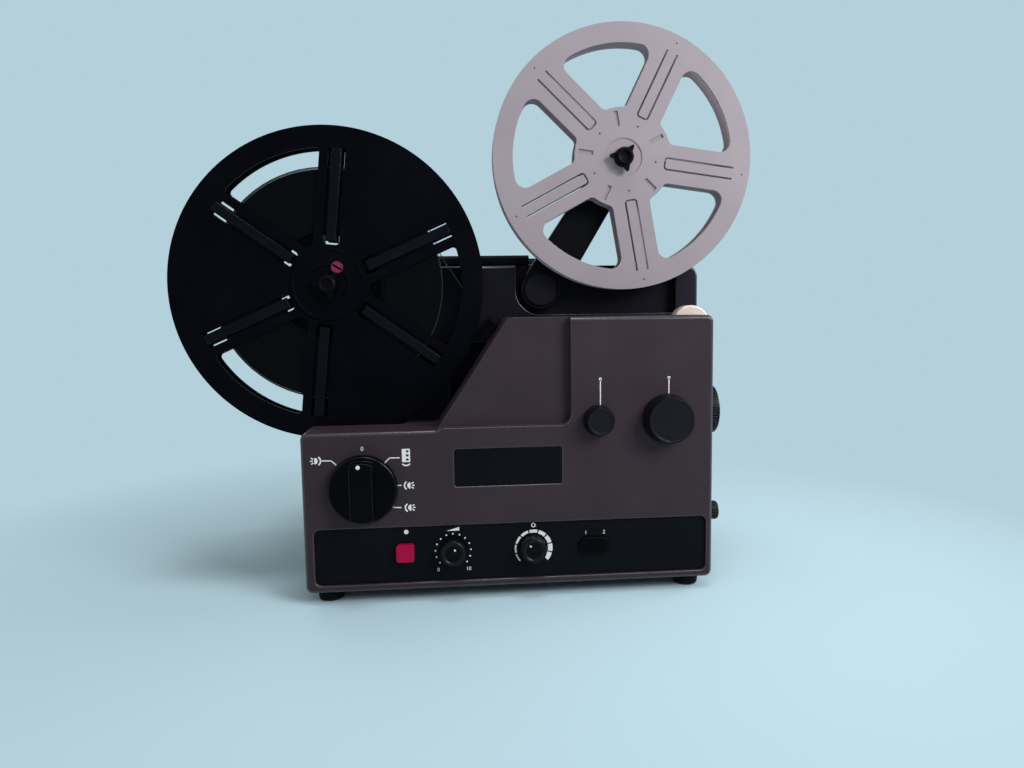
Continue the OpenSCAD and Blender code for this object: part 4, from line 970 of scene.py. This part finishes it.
@dataclass
class FrontCover(SubAssembly):
    """Front cover with its name plate, control panel and printed legends.

    Places round the dial and the other controls are given from their middles.
    """

    edge: float = 0.8
    plate_edge: float = 0.3
    ink: float = 0.06
    line: float = 0.7
    digit_h: float = 2.5
    zero: Point = (0.0, 25.7)
    zero_scale: float = 1.15
    dial_lines: tuple[tuple[Point, ...], ...] = (
        ((-25.3, 18.8), (-19.7, 18.7), (-16.7, 15.9)),
        ((14.3, 16.5), (17.2, 19.4), (23.5, 19.3)),
        ((22.2, 1.3), (24.2, 1.3)),
        ((17.8, -12.2), (19.4, -13.1), (23.7, -13.3)),
    )
    lamp: LampSign = LampSign()
    lamp_places: tuple[Point, ...] = ((29.1, 1.1), (29.3, -13.5))
    back_lamp: Point = (-29.2, 18.8)
    film: FilmSign = FilmSign()
    film_place: Point = (27.7, 20.7)
    knob_lines: tuple[tuple[str, float, float], ...] = (
        ("frame_knob", 10.4, 27.0),
        ("focus_knob", 16.8, 27.0),
    )
    knob_line_x: float = 1.2
    knob_dot_r: float = 1.0
    record_dot: Point = (0.8, 13.4)
    record_dot_r: float = 1.5
    volume_drop: float = 0.6
    dots: int = 13
    dots_r: float = 11.6
    dot_r: float = 0.55
    dots_sweep: Range = (220.0, -40.0)
    ramp_half: float = 4.2
    ramp_rise: Range = (13.6, 16.0)
    volume_digits: tuple[tuple[str, float], ...] = (("0", -9.9), ("10", 9.9))
    volume_digits_drop: float = 12.2
    trick_shift: Point = (0.5, -0.9)
    wedges: int = 9
    wedge_r: float = 12.6
    wedge_w: Range = (0.9, 3.3)
    wedge_gap: float = 4.5
    wedge_sweep: Range = (222.0, -46.0)
    trick_ring: Point = (0.5, 14.7)
    trick_ring_radii: Point = (1.5, 0.9)
    slide_digits: tuple[tuple[str, float], ...] = (("1", -5.6), ("2", 6.6))
    slide_digits_rise: float = 8.2

    def build(self) -> None:
        """Makes the cover, its plates and the print on them."""
        self.rub("front_cover", COVER, self.edge)
        self.soften("name_plate", PANEL, self.plate_edge)
        self.soften("control_panel", PANEL, self.plate_edge)
        self.cover_print()
        self.panel_print()

    def by(self, node: str, place: Point) -> Point:
        """The X and Z of a place that is given from a control's middle."""
        x, z = middle(node)
        return x + place[0], z + place[1]

    def stamp(self, shape: Shape, y: float, *loops: Outline) -> None:
        """Prints an outline with its holes on a surface at a depth."""
        shape.slab(loops, y - self.ink, y + SINK)

    def number(self, shape: Shape, y: float, text: str, centre: Point, scale: float = 1.0) -> None:
        """Prints plain numerals on a surface at a depth."""
        shape.digits(text, centre, scale * self.digit_h, y + SINK, y - self.ink)

    def stroke(self, shape: Shape, y: float, points: Sequence[Point]) -> None:
        """Prints a line.

        Args:
            shape: The print.
            y: Depth of the surface.
            points: The points that it runs through.
        """
        half = self.line / 2
        for p, q in zip(points, points[1:]):
            angle = math.degrees(math.atan2(q[1] - p[1], q[0] - p[0]))
            self.stamp(shape, y, bar(p, angle, -half / 2, math.dist(p, q) + half / 2, half))

    def cover_print(self) -> None:
        """Prints the dial's positions and the lines to the two upper knobs."""
        shape = Shape()
        y = span("front_cover")[0].y
        self.number(shape, y, "0", self.by("mode_dial", self.zero), self.zero_scale)
        for points in self.dial_lines:
            self.stroke(shape, y, [self.by("mode_dial", p) for p in points])
        lamps = [(place, 0.0) for place in self.lamp_places] + [(self.back_lamp, 180.0)]
        for place, way in lamps:
            for loop in self.lamp.outlines(self.by("mode_dial", place), way):
                self.stamp(shape, y, loop)
        place = self.by("mode_dial", self.film_place)
        self.stamp(shape, y, *self.film.strip(place))
        self.stamp(shape, y, self.film.below(place))
        for knob, start, end in self.knob_lines:
            first, last = (self.by(knob, (self.knob_line_x, rise)) for rise in (start, end))
            self.stroke(shape, y, [first, last])
            self.stamp(shape, y, circle(last, self.knob_dot_r, Facets.SPOT))
        self.piece(shape, "cover_print", INK, NODE_BODY["front_cover"])

    def panel_print(self) -> None:
        """Prints the scales and signs of the lower row of controls."""
        shape = Shape()
        y = span("control_panel")[0].y
        spot = self.by("record_button", self.record_dot)
        self.stamp(shape, y, circle(spot, self.record_dot_r, Facets.DISC))
        self.volume_print(shape, y)
        self.trick_print(shape, y)
        for text, aside in self.slide_digits:
            self.number(shape, y, text, self.by("slide_grip", (aside, self.slide_digits_rise)))
        self.piece(shape, "panel_print", INK, NODE_BODY["control_panel"])

    def volume_print(self, shape: Shape, y: float) -> None:
        """Prints a ring of dots, a ramp and two numbers round the volume knob.

        Args:
            shape: The print.
            y: Depth of the surface.
        """
        x, z = self.by("volume_knob", (0.0, -self.volume_drop))
        first, last = self.dots_sweep
        for i in range(self.dots):
            spot = polar((x, z), self.dots_r, first + (last - first) * i / (self.dots - 1))
            self.stamp(shape, y, circle(spot, self.dot_r, Facets.DOT))
        left, right = x - self.ramp_half, x + self.ramp_half
        foot, top = (z + rise for rise in self.ramp_rise)
        self.stamp(shape, y, [(left, foot), (right, foot), (right, top)])
        for text, aside in self.volume_digits:
            self.number(shape, y, text, (x + aside, z - self.volume_digits_drop))

    def trick_print(self, shape: Shape, y: float) -> None:
        """Prints a widening row of wedges and a ring round the trick-recording knob.

        Args:
            shape: The print.
            y: Depth of the surface.
        """
        hub = self.by("trick_knob", self.trick_shift)
        first, last = self.wedge_sweep
        step = (last - first) / self.wedges
        thin, thick = self.wedge_w
        for i in range(self.wedges):
            start, end = first + step * i, first + step * (i + 1) + self.wedge_gap
            wide = thin + (thick - thin) * i / (self.wedges - 1)
            self.stamp(shape, y, band(hub, (self.wedge_r - wide, self.wedge_r), start, end, Steps.CORNER))
        ring = self.by("trick_knob", self.trick_ring)
        self.stamp(shape, y, *(circle(ring, r, Facets.DISC) for r in self.trick_ring_radii))


@dataclass
class CarryHandle(SubAssembly):
    """The handle on top and its two brackets."""

    grip_edge: float = 1.2
    bracket_edge: float = 0.3

    def build(self) -> None:
        """Makes the handle and its brackets."""
        self.soften("carry_handle", HOUSING, self.grip_edge)
        self.soften("handle_brackets", HOUSING, self.bracket_edge)


@dataclass
class SupplyArm(SubAssembly):
    """The arm that carries the supply reel, with its belt drive inside."""

    shell_edge: float = 1.0
    plate_edge: float = 0.5
    pivot_edge: float = 0.4

    def build(self) -> None:
        """Makes the arm's shell and its pivot."""
        self.soften("arm_shell", ARM, self.shell_edge)
        self.soften("arm_back_plate", ARM, self.plate_edge)
        self.soften("arm_pivot_pin", PIVOT, self.pivot_edge)
        self.dress(ALLOY, "pivot_pulley")
        self.dress(RUBBER, "arm_belt")


@dataclass
class Reel(SubAssembly):
    """A reel on a spindle with a hollow nose and three tapered prongs.

    Attributes:
        hub: The X and Z of the reel's centre.
        spokes: The number of spokes.
        first: Direction of the first spoke.
        bore: Radius of the hole for the spindle.
        edge: Rounding of the flanges' edges.
        nose: Radius of the spindle's nose, with the distance from its tip.
        nose_back: How far in front of the reel the nose joins the shaft.
        nose_lap: How far the nose and the shaft overlap.
        nose_edge: Rounding of the nose's edges.
        prong: Outline of a prong, from the axis outwards.
        prong_ways: Directions of the prongs.
        prong_y: Front and back of the prongs, from the front of the reel.
    """

    hub: Point = field(default=(0.0, 0.0), init=False)
    spokes: int = 5
    first: float = 0.0
    bore: float = 6.5
    edge: float = 0.3
    nose: tuple[Point, ...] = ((0.0, 1.4), (2.7, 1.4), (3.2, 0.3), (4.5, 0.0), (5.7, 0.6), (6.3, 1.8))
    nose_back: float = 1.5
    nose_lap: float = 0.05
    nose_edge: float = 0.35
    prong: tuple[Point, ...] = ((4.0, -2.9), (8.6, -1.1), (9.8, -0.5), (9.8, 0.5), (8.6, 1.1), (4.0, 2.9))
    prong_ways: tuple[float, ...] = (50.0, 175.0, 285.0)
    prong_y: Range = (-5.0, -2.0)

    def ways(self) -> list[float]:
        """The directions of the spokes."""
        return [self.first + self.pitch() * k for k in range(self.spokes)]

    def pitch(self) -> float:
        """The angle between two spokes."""
        return 360 / self.spokes

    def spindle(self, node: str, front: float) -> None:
        """Gives a spindle its nose and its prongs.

        Args:
            node: The spindle's node.
            front: Depth of the front of the reel.
        """
        tip, cut = span(node)[0].y, front - self.nose_back
        x, z = middle(node)
        r, foot = self.nose[-1][0], cut - tip + self.nose_lap
        form = [*self.nose, (r, foot), (0.0, foot)]
        shape = Shape().take(node).trim(cut).lathe([(a, tip + b) for a, b in form], (x, 0, z))
        for way in self.prong_ways:
            loop = [polar((x, z), a, way, b) for a, b in self.prong]
            shape.slab([loop], front + self.prong_y[0], front + self.prong_y[1])
        self.stand_in(shape, node, SPINDLE, self.nose_edge)


@dataclass
class SupplyReel(Reel):
    """The grey reel on the arm, with sprung tongues along its spokes."""

    first: float = 64.0
    half: float = 13.0
    opening: Point = (33.5, 75.5)
    fillets: Point = (4.0, 7.0)
    slit: Point = (28.5, 77.0)
    slit_half: float = 3.2
    slit_w: float = 1.2
    slit_fillet: float = 2.4
    slot: Point = (21.0, 31.0)
    slot_half: float = 1.4
    slot_depth: float = 1.1
    slot_margin: float = 1.0
    recess_r: float = 13.0
    recess: float = 0.6
    recess_margin: float = 0.4
    floor_inset: float = 0.1
    dimples: tuple[float, ...] = (22.6, 83.5)
    dimple_r: float = 0.6

    def build(self) -> None:
        """Makes the flanges, the hub and the spindle."""
        self.hub = middle("supply_hub")
        self.flange("supply_flange_front", True)
        self.flange("supply_flange_back", False)
        self.soften("supply_hub", GREY_REEL, self.edge)
        self.spindle("supply_spindle", span("supply_flange_front")[0].y)

    def flange(self, node: str, front: bool) -> None:
        """Makes a flange.

        Args:
            node: The flange's node.
            front: Whether it is the front one, with a sunk centre, blind slots and dimples.
        """
        low, high = span(node)
        step = self.pitch()
        loops = [circle(self.hub, (high.x - low.x) / 2, Facets.GREY_RIM)]
        loops.append(circle(self.hub, self.recess_r if front else self.bore, Facets.RECESS))
        for way in self.ways():
            loops.append(window(self.hub, self.opening, self.half, way, way + step, self.fillets))
            loops.append(tongue(self.hub, way, self.slit, self.slit_half, self.slit_w, self.slit_fillet))
        shape = Shape()
        if front:
            margin = self.slot_margin
            ends = (self.slot[0] - margin, self.slot[1] + margin)
            for way in self.ways():
                loops.append(bar(self.hub, way + step / 2, *self.slot, self.slot_half))
                loops += [circle(polar(self.hub, r, way), self.dimple_r, Facets.DOT) for r in self.dimples]
                floor = bar(self.hub, way + step / 2, *ends, self.slot_half + margin)
                shape.slab([floor], low.y + self.slot_depth, high.y - self.floor_inset)
            centre = [circle(self.hub, self.recess_r + self.recess_margin, Facets.RECESS)]
            centre.append(circle(self.hub, self.bore, Facets.BORE))
            shape.slab(centre, low.y + self.recess, high.y - self.floor_inset)
        shape.slab(loops, low.y, high.y)
        self.stand_in(shape, node, GREY_REEL, self.edge)


@dataclass
class TakeupReel(Reel):
    """The black reel at the left, with the film wound on it.

    Attributes:
        disc: Radius and height of the profile of the disc round the hub.
        light: Radii between which light passes the hub at the spokes.
        button: Place of the red catch from the hub.
        button_rim: Radius, from the catch's own, and depth of the profile of its rim.
    """

    spokes: int = 6
    first: float = 24.0
    width: float = 13.0
    thick: float = 1.8
    half: float = 11.5
    opening: Point = (28.0, 89.5)
    fillets: Point = (2.5, 2.5)
    slit: Point = (26.5, 89.5)
    slit_half: float = 3.5
    slit_w: float = 2.0
    slit_fillet: float = 2.2
    rib: float = 0.6
    rib_half: float = 3.0
    rib_ends: Point = (2.6, 0.4)
    rib_root: float = 0.5
    rib_edge: float = 0.25
    disc: tuple[Point, ...] = (
        (6.5, 0.2),
        (11.8, 0.2),
        (12.6, 0.9),
        (22.5, 0.9),
        (22.9, 1.2),
        (24.1, 1.2),
        (24.5, 0.8),
        (24.5, -0.4),
        (6.5, -0.4),
    )
    light: Point = (25.0, 33.0)
    light_half: float = 6.0
    web: float = 1.0
    web_inset: float = 0.5
    web_bore: float = 8.5
    roll_edge: float = 0.1
    button: Point = (6.6, 11.2)
    button_r: float = 3.9
    button_rim: tuple[Point, ...] = ((-0.5, 0.4), (-0.3, -0.7), (0.0, -0.7), (0.0, 0.4))
    button_y: Range = (-0.5, 0.4)
    button_inset: float = 0.4
    button_slot: float = 1.1
    button_lean: float = -30.0
    button_edge: float = 0.15

    def build(self) -> None:
        """Makes the flanges, the hub, the film and the spindle."""
        self.hub = middle("takeup_hub")
        self.flange("takeup_flange_front", True)
        self.flange("takeup_flange_back", False)
        self.core()
        self.spindle("takeup_spindle", span("takeup_flange_back")[1].y - self.width)
        self.soften("film_roll", replace(FILM_EDGES, centre=(self.hub[0], 0.0, self.hub[1])), self.roll_edge)
        self.soften("film_outer_turn", FILM_BASE, 0.0)
        self.catch()

    def flange(self, node: str, front: bool) -> None:
        """Makes a flange with three openings.

        Args:
            node: The flange's node.
            front: Whether it is the front one, with raised ribs and a disc round the hub.
        """
        low, high = span(node)
        y = high.y - self.thick
        step, ways = self.pitch(), self.ways()
        loops = [circle(self.hub, (high.x - low.x) / 2, Facets.BLACK_RIM)]
        loops.append(circle(self.hub, self.bore, Facets.BORE))
        loops += [window(self.hub, self.opening, self.half, a, a + step, self.fillets) for a in ways[1::2]]
        slit = (self.slit, self.slit_half, self.slit_w, self.slit_fillet)
        loops += [tongue(self.hub, a, *slit) for a in ways]
        shape = Shape().slab(loops, y, high.y)
        if front:
            self.ribs(node, y)
            centre = (self.hub[0], 0, self.hub[1])
            shape.lathe([(r, y - rise) for r, rise in self.disc], centre, ring=True)
        self.stand_in(shape, node, BLACK_REEL, self.edge)

    def ribs(self, node: str, y: float) -> None:
        """Raises a rib along each tongue.

        Args:
            node: The flange that carries the ribs.
            y: Depth of its front.
        """
        shape = Shape()
        start, end = self.slit[0] + self.rib_ends[0], self.slit[1] - self.rib_ends[1]
        for way in self.ways():
            shape.slab([bar(self.hub, way, start, end, self.rib_half)], y - self.rib, y + self.rib_root)
        # The ribs take the reel's plastic painted lighter, as a painted highlight.
        self.piece(shape, "takeup_ribs", REEL_RIB_PAINTED_LIGHTER, NODE_BODY[node], (), self.rib_edge)

    def core(self) -> None:
        """Makes the hub, with a web that leaves light through only at the spokes."""
        low, high = span("takeup_hub")
        y = (low.y + high.y) / 2
        loops = [circle(self.hub, (high.x - low.x) / 2 - self.web_inset)]
        loops.append(circle(self.hub, self.web_bore, Facets.BORE))
        loops += [bar(self.hub, way, *self.light, self.light_half) for way in self.ways()]
        shape = Shape().take("takeup_hub").slab(loops, y - self.web, y + self.web)
        self.stand_in(shape, "takeup_hub", BLACK_REEL)

    def catch(self) -> None:
        """Makes the slotted red button on the hub."""
        y = span("takeup_flange_front")[0].y
        x, z = self.hub[0] + self.button[0], self.hub[1] + self.button[1]
        rim = [(self.button_r + r, depth) for r, depth in self.button_rim]
        shape = Shape().lathe(rim, (x, y, z), Facets.BORE, ring=True)
        face = circle((0, 0), self.button_r - self.button_inset, Facets.CATCH)
        half = [p for p in face if p[1] > self.button_slot / 2]
        for side in (-1, 1):
            loop = [polar((x, z), a, self.button_lean, side * b) for a, b in half]
            shape.slab([loop], y + self.button_y[0], y + self.button_y[1])
        self.piece(shape, "takeup_catch", CATCH, NODE_BODY["takeup_flange_front"], (), self.button_edge)


@dataclass
class Controls(SubAssembly):
    """Dial, knobs, button and switch, with what they work behind the panel.

    Attributes:
        marks: For each white dot, its control, its place from the control's middle, its
            radius and the depth of the control's face behind its front.
        mark_dome: Radius, as a share of the dot's, and depth of the profile of a dot.
        tapers: How much smaller a knob's face is than its foot, in radius.
    """

    dial_edge: float = 0.6
    small_edge: float = 0.4
    marks: tuple[tuple[str, Point, float, float], ...] = (
        ("mode_dial", (-1.3, 16.7), 1.3, 0.0),
        ("volume_knob", (1.1, 2.4), 0.65, 0.8),
        ("trick_knob", (-2.3, 3.0), 0.65, 0.8),
    )
    mark_dome: tuple[Point, ...] = ((0.0, -0.16), (0.7, -0.12), (1.0, -0.04), (1.0, 0.3), (0.0, 0.3))
    tapers: tuple[tuple[str, float], ...] = (("frame_knob", 1.6), ("focus_knob", 1.8))
    knob_edge: float = 0.55
    knob_foot: float = 2.2
    knob_gap: float = 0.4
    rim: float = 1.2
    dish: float = 0.5
    button_depth: float = 10.0
    button_r: float = 1.9
    button_edge: float = 0.9
    stem_r: float = 2.0
    stem_lap: float = 0.5
    ribs: int = 9
    rib_pitch: float = 1.7
    rib_half: Point = (0.35, 4.2)
    rib_y: Range = (-0.5, 0.3)
    rib_edge: float = 0.15

    def build(self) -> None:
        """Makes the controls and their marks, and dresses their bodies."""
        self.soften("mode_dial", DIAL, self.dial_edge)
        self.button("record_button")
        for node, finish in (
            ("volume_knob", SMALL_KNOB),
            ("trick_knob", SMALL_KNOB),
            ("slide_grip", SLIDE),
            ("speed_knob", KNOB),
        ):
            self.soften(node, finish, self.small_edge)
        for node, taper in self.tapers:
            self.knob(node, taper)
        for mark in self.marks:
            self.mark(*mark)
        self.slide_ribs()
        self.dress(RESIN, "control_bodies", "mode_switch")
        self.dress(BRONZE, "knob_bushes")

    def knob(self, node: str, taper: float) -> None:
        """Makes a tapered knob with a dished face inside a rim.

        Args:
            node: The knob's node, whose shaft is kept.
            taper: How much smaller its face is than its foot, in radius.
        """
        low, high = span(node)
        x, z = middle(node)
        r, front = (high.x - low.x) / 2, low.y
        back = span("front_cover")[0].y - self.knob_gap
        face, inner, floor = r - taper, r - taper - self.rim, front + self.dish
        form = [(0, back), (r, back), (r, back - self.knob_foot), (face, front)]
        form += [(inner, front), (inner - self.dish, floor), (0, floor)]
        shape = Shape().take(node).trim(back + self.knob_gap / 2).lathe(form, (x, 0, z), Facets.KNOB)
        self.stand_in(shape, node, KNOB, self.knob_edge)

    def button(self, node: str) -> None:
        """Makes a square push button with round corners on its stem.

        Args:
            node: The button's node.
        """
        low, high = span(node)
        x, z = middle(node)
        back = high.y - self.button_depth
        start = back - self.stem_lap
        shape = Shape().slab([rounded_box((low.x, high.x), (low.z, high.z), self.button_r)], low.y, back)
        stem = [(0, start), (self.stem_r, start), (self.stem_r, high.y), (0, high.y)]
        shape.lathe(stem, (x, 0, z), Facets.STEM)
        self.stand_in(shape, node, RED, self.button_edge)

    def mark(self, node: str, place: Point, r: float, sunk: float) -> None:
        """Sets a white domed dot into the face of a control.

        Args:
            node: The control's node.
            place: Place of the dot from the control's middle.
            r: Radius of the dot.
            sunk: Depth of the control's face behind its front.
        """
        x, z = middle(node)
        y = span(node)[0].y + sunk
        dome = [(share * r, depth) for share, depth in self.mark_dome]
        shape = Shape().lathe(dome, (x + place[0], y, z + place[1]), Facets.DISC)
        self.piece(shape, node + "_mark", INK, NODE_BODY[node])

    def slide_ribs(self) -> None:
        """Sets a row of grip ribs on the slide switch."""
        low, _ = span("slide_grip")
        x, z = middle("slide_grip")
        wide, high = self.rib_half
        near, far = (low.y + y for y in self.rib_y)
        shape = Shape()
        for i in range(self.ribs):
            at = x + (i - (self.ribs - 1) / 2) * self.rib_pitch
            shape.block((at - wide, near, z - high), (at + wide, far, z + high), Matrix())
        self.piece(shape, "slide_ribs", SLIDE, NODE_BODY["slide_grip"], (), self.rib_edge)


@dataclass
class Lens(SubAssembly):
    """The projection lens in its mount, and the ribbed knob on the same side.

    Attributes:
        zoom_ribs: Number and height of the ring's ribs.
        zoom_inset: Distance of the ribs' ends from the two ends of the ring.
        speed_ribs: Number and height of the knob's ribs.
        speed_inset: The same, where a negative first number measures from the second end.
        rib_share: Half the width of a rib, as a share of the pitch.
    """

    zoom_edge: float = 0.8
    zoom_ribs: tuple[int, float] = (56, 0.5)
    zoom_inset: Point = (2.0, 2.0)
    speed_ribs: tuple[int, float] = (24, 0.4)
    speed_inset: Point = (-6.5, 1.0)
    rib_share: float = 0.28
    rib_root: float = 0.6
    rib_edge: float = 0.12
    barrel_edge: float = 0.3
    glass_edge: float = 0.1

    def build(self) -> None:
        """Makes the ring, the barrel and the glass."""
        self.soften("zoom_ring", KNOB, self.zoom_edge)
        self.serrate("zoom_ring", *self.zoom_ribs, self.zoom_inset)
        self.serrate("speed_knob", *self.speed_ribs, self.speed_inset)
        self.soften("lens_barrel", ALLOY, self.barrel_edge)
        self.soften("lens_glass", GLASS, self.glass_edge)
        self.dress(ALLOY, "lens_mount")

    def serrate(self, node: str, count: int, height: float, inset: Point) -> None:
        """Sets grip ribs round a node that turns about the X axis.

        Args:
            node: The node.
            count: The number of ribs.
            height: How far a rib stands out.
            inset: Distance of the ribs' ends from the node's two ends; a negative
                first one measures their length back from the second end.
        """
        low, high = span(node)
        r = (high.z - low.z) / 2
        start = high.x + inset[0] if inset[0] < 0 else low.x + inset[0]
        end = high.x - inset[1]
        place = Vector((0, (low.y + high.y) / 2, (low.z + high.z) / 2))
        half = self.rib_share * math.tau * r / count
        shape = Shape()
        for i in range(count):
            turn = Matrix.Translation(place) @ Matrix.Rotation(math.tau * i / count, 4, "X")
            shape.block((start, -half, r - self.rib_root), (end, half, r + height), turn)
        self.piece(shape, node + "_grip", KNOB, NODE_BODY[node], (), self.rib_edge)


@dataclass
class FilmPath(SubAssembly):
    """What guides, lights and moves the film."""

    roller_edge: float = 1.2
    guide_edge: float = 0.3

    def build(self) -> None:
        """Makes the roller and dresses the rest."""
        self.soften("inlet_roller", NYLON, self.roller_edge)
        self.soften("film_guides", BLACK_STEEL, self.guide_edge)
        self.dress(STEEL, "main_shaft", "lower_shaft", "shutter")
        self.dress(ALLOY, "film_gate", "lamp_house", "sound_drum")
        self.dress(GLASS, "lamp")


@dataclass
class Drive(SubAssembly):
    """Motor, belts and electrics inside the housing."""

    def build(self) -> None:
        """Dresses the inner pieces."""
        self.dress(IRON, "motor", "transformer")
        self.dress(STEEL, "motor_rotor")
        self.dress(BRONZE, "shaft_bearings")
        self.dress(RUBBER, "drive_belts")
        self.dress(BOARD, "amplifier_board")
        self.dress(CONE, "speaker")


@dataclass(frozen=True)
class Lamp:
    """A soft square lamp that faces the object's middle, with its place and size in metres."""

    name: str
    place: Place
    size: float
    watts: float
    aim: ClassVar[Place] = (0.0, 0.0, 0.18)

    def hang(self) -> None:
        """Hangs the lamp in the scene."""
        data = bpy.data.lights.new(self.name, "AREA")
        data.size, data.energy = self.size, self.watts
        lamp = bpy.data.objects.new(self.name, data)
        lamp.location = self.place
        lamp.rotation_euler = (Vector(self.aim) - lamp.location).to_track_quat("-Z", "Y").to_euler()
        bpy.context.scene.collection.objects.link(lamp)


@dataclass
class Studio:
    """Floor, light and camera.

    Attributes:
        backdrop: Colour of the backdrop and the floor.
        floor_r: Radius of the floor in metres.
        fade: Radii in metres between which the floor fades into the backdrop.
        floor_rough: Roughness of the floor.
        ambient: Strength of the even light from all round.
        lamps: The lamps.
        lens_mm: Focal length of the camera.
        place: Place of the camera.
        yaw: Turn of the camera to the right.
        pitch: Tilt of the camera downwards.
        roll: Lean of the camera.
    """

    backdrop: str = "b4d0db"
    floor_r: float = 3.0
    fade: Range = (0.2, 0.5)
    floor_rough: float = 0.9
    ambient: float = 0.33
    lamps: tuple[Lamp, ...] = (
        Lamp("key", (0.7, -0.7, 0.66), 0.5, 9.5),
        Lamp("fill", (-1.3, -1.0, 0.7), 1.2, 0.5),
        Lamp("top", (0.1, -0.3, 1.4), 0.4, 5.0),
        Lamp("side", (1.0, 0.05, 0.6), 0.5, 3.0),
        Lamp("back", (-0.7, 1.3, 0.9), 1.0, 6.0),
    )
    lens_mm: float = 26.445
    place: Place = (-12.8, -564.9, 188.2)
    yaw: float = 4.697
    pitch: float = 5.525
    roll: float = 0.883

    def build(self) -> None:
        """Sets up everything round the object."""
        bpy.context.scene.view_settings.view_transform = "Standard"
        self.world()
        self.floor()
        for lamp in self.lamps:
            lamp.hang()
        self.camera()

    def world(self) -> None:
        """Lights the scene evenly, and shows the backdrop's colour to the camera and in gloss and glass."""
        world = bpy.data.worlds.new("studio")
        bpy.context.scene.world = world
        world.use_nodes = True
        tree = world.node_tree
        light = tree.nodes["Background"]
        light.inputs["Color"].default_value = (1.0, 1.0, 1.0, 1.0)
        light.inputs["Strength"].default_value = self.ambient
        shown = tree.nodes.new("ShaderNodeBackground")
        shown.inputs["Color"].default_value = (*colour(self.backdrop), 1.0)
        path = tree.nodes.new("ShaderNodeLightPath")
        share = path.outputs["Is Camera Ray"]
        for name in ("Is Glossy Ray", "Is Transmission Ray"):
            either = tree.nodes.new("ShaderNodeMath")
            either.operation = "MAXIMUM"
            tree.links.new(share, either.inputs[0])
            tree.links.new(path.outputs[name], either.inputs[1])
            share = either.outputs[0]
        mix = tree.nodes.new("ShaderNodeMixShader")
        tree.links.new(share, mix.inputs[0])
        tree.links.new(light.outputs[0], mix.inputs[1])
        tree.links.new(shown.outputs[0], mix.inputs[2])
        tree.links.new(mix.outputs[0], tree.nodes["World Output"].inputs[0])

    def floor(self) -> None:
        """Lays a round pale floor that fades into the backdrop's colour away from the object."""
        bm = bmesh.new()
        bmesh.ops.create_circle(bm, cap_ends=True, radius=self.floor_r, segments=64)
        mesh = bpy.data.meshes.new("floor")
        bm.to_mesh(mesh)
        bm.free()
        graph = Graph("floor")
        tone = (*colour(self.backdrop), 1.0)
        graph.set("Base Color", tone)
        graph.set("Roughness", self.floor_rough)
        graph.set("Specular IOR Level", 0.0)
        far = graph.node("VectorMath", {0: graph.coords}, operation="LENGTH").outputs["Value"]
        glow = graph.node("Emission", {"Color": tone})
        mix = graph.node("MixShader", {0: graph.fit(far, *self.fade)})
        graph.put(mix.inputs[1], graph.shader.outputs[0])
        graph.put(mix.inputs[2], glow.outputs[0])
        graph.put(graph.tree.nodes["Material Output"].inputs[0], mix.outputs[0])
        mesh.materials.append(graph.material)
        floor = bpy.data.objects.new("floor", mesh)
        bpy.context.scene.collection.objects.link(floor)

    def camera(self) -> None:
        """Places the camera at the photograph's viewing angle."""
        yaw, pitch, roll = (math.radians(a) for a in (self.yaw, self.pitch, self.roll))
        level = Vector((math.cos(yaw), -math.sin(yaw), 0.0))
        ahead = Vector((math.sin(yaw) * math.cos(pitch), math.cos(yaw) * math.cos(pitch), -math.sin(pitch)))
        down = ahead.cross(level)
        right = math.cos(roll) * level + math.sin(roll) * down
        up = math.sin(roll) * level - math.cos(roll) * down
        turn = Matrix((right, up, -ahead)).transposed().to_4x4()
        data = bpy.data.cameras.new("camera")
        data.lens, data.clip_start = self.lens_mm, 0.01
        camera = bpy.data.objects.new("camera", data)
        camera.matrix_world = Matrix.Translation(Vector(self.place) * MM) @ turn
        bpy.context.scene.collection.objects.link(camera)
        bpy.context.scene.camera = camera


def main() -> None:
    """Builds the studio and every group of pieces."""
    logging.basicConfig(level=logging.INFO, format="%(name)s: %(message)s")
    Studio().build()
    groups = (
        Case, FrontCover, CarryHandle, SupplyArm, SupplyReel, TakeupReel, Controls, Lens, FilmPath, Drive
    )
    for kind in groups:
        group = kind()
        group.build()
        LOG.info("%s: %d pieces", kind.__name__, group.pieces)


if __name__ == "__main__":
    main()
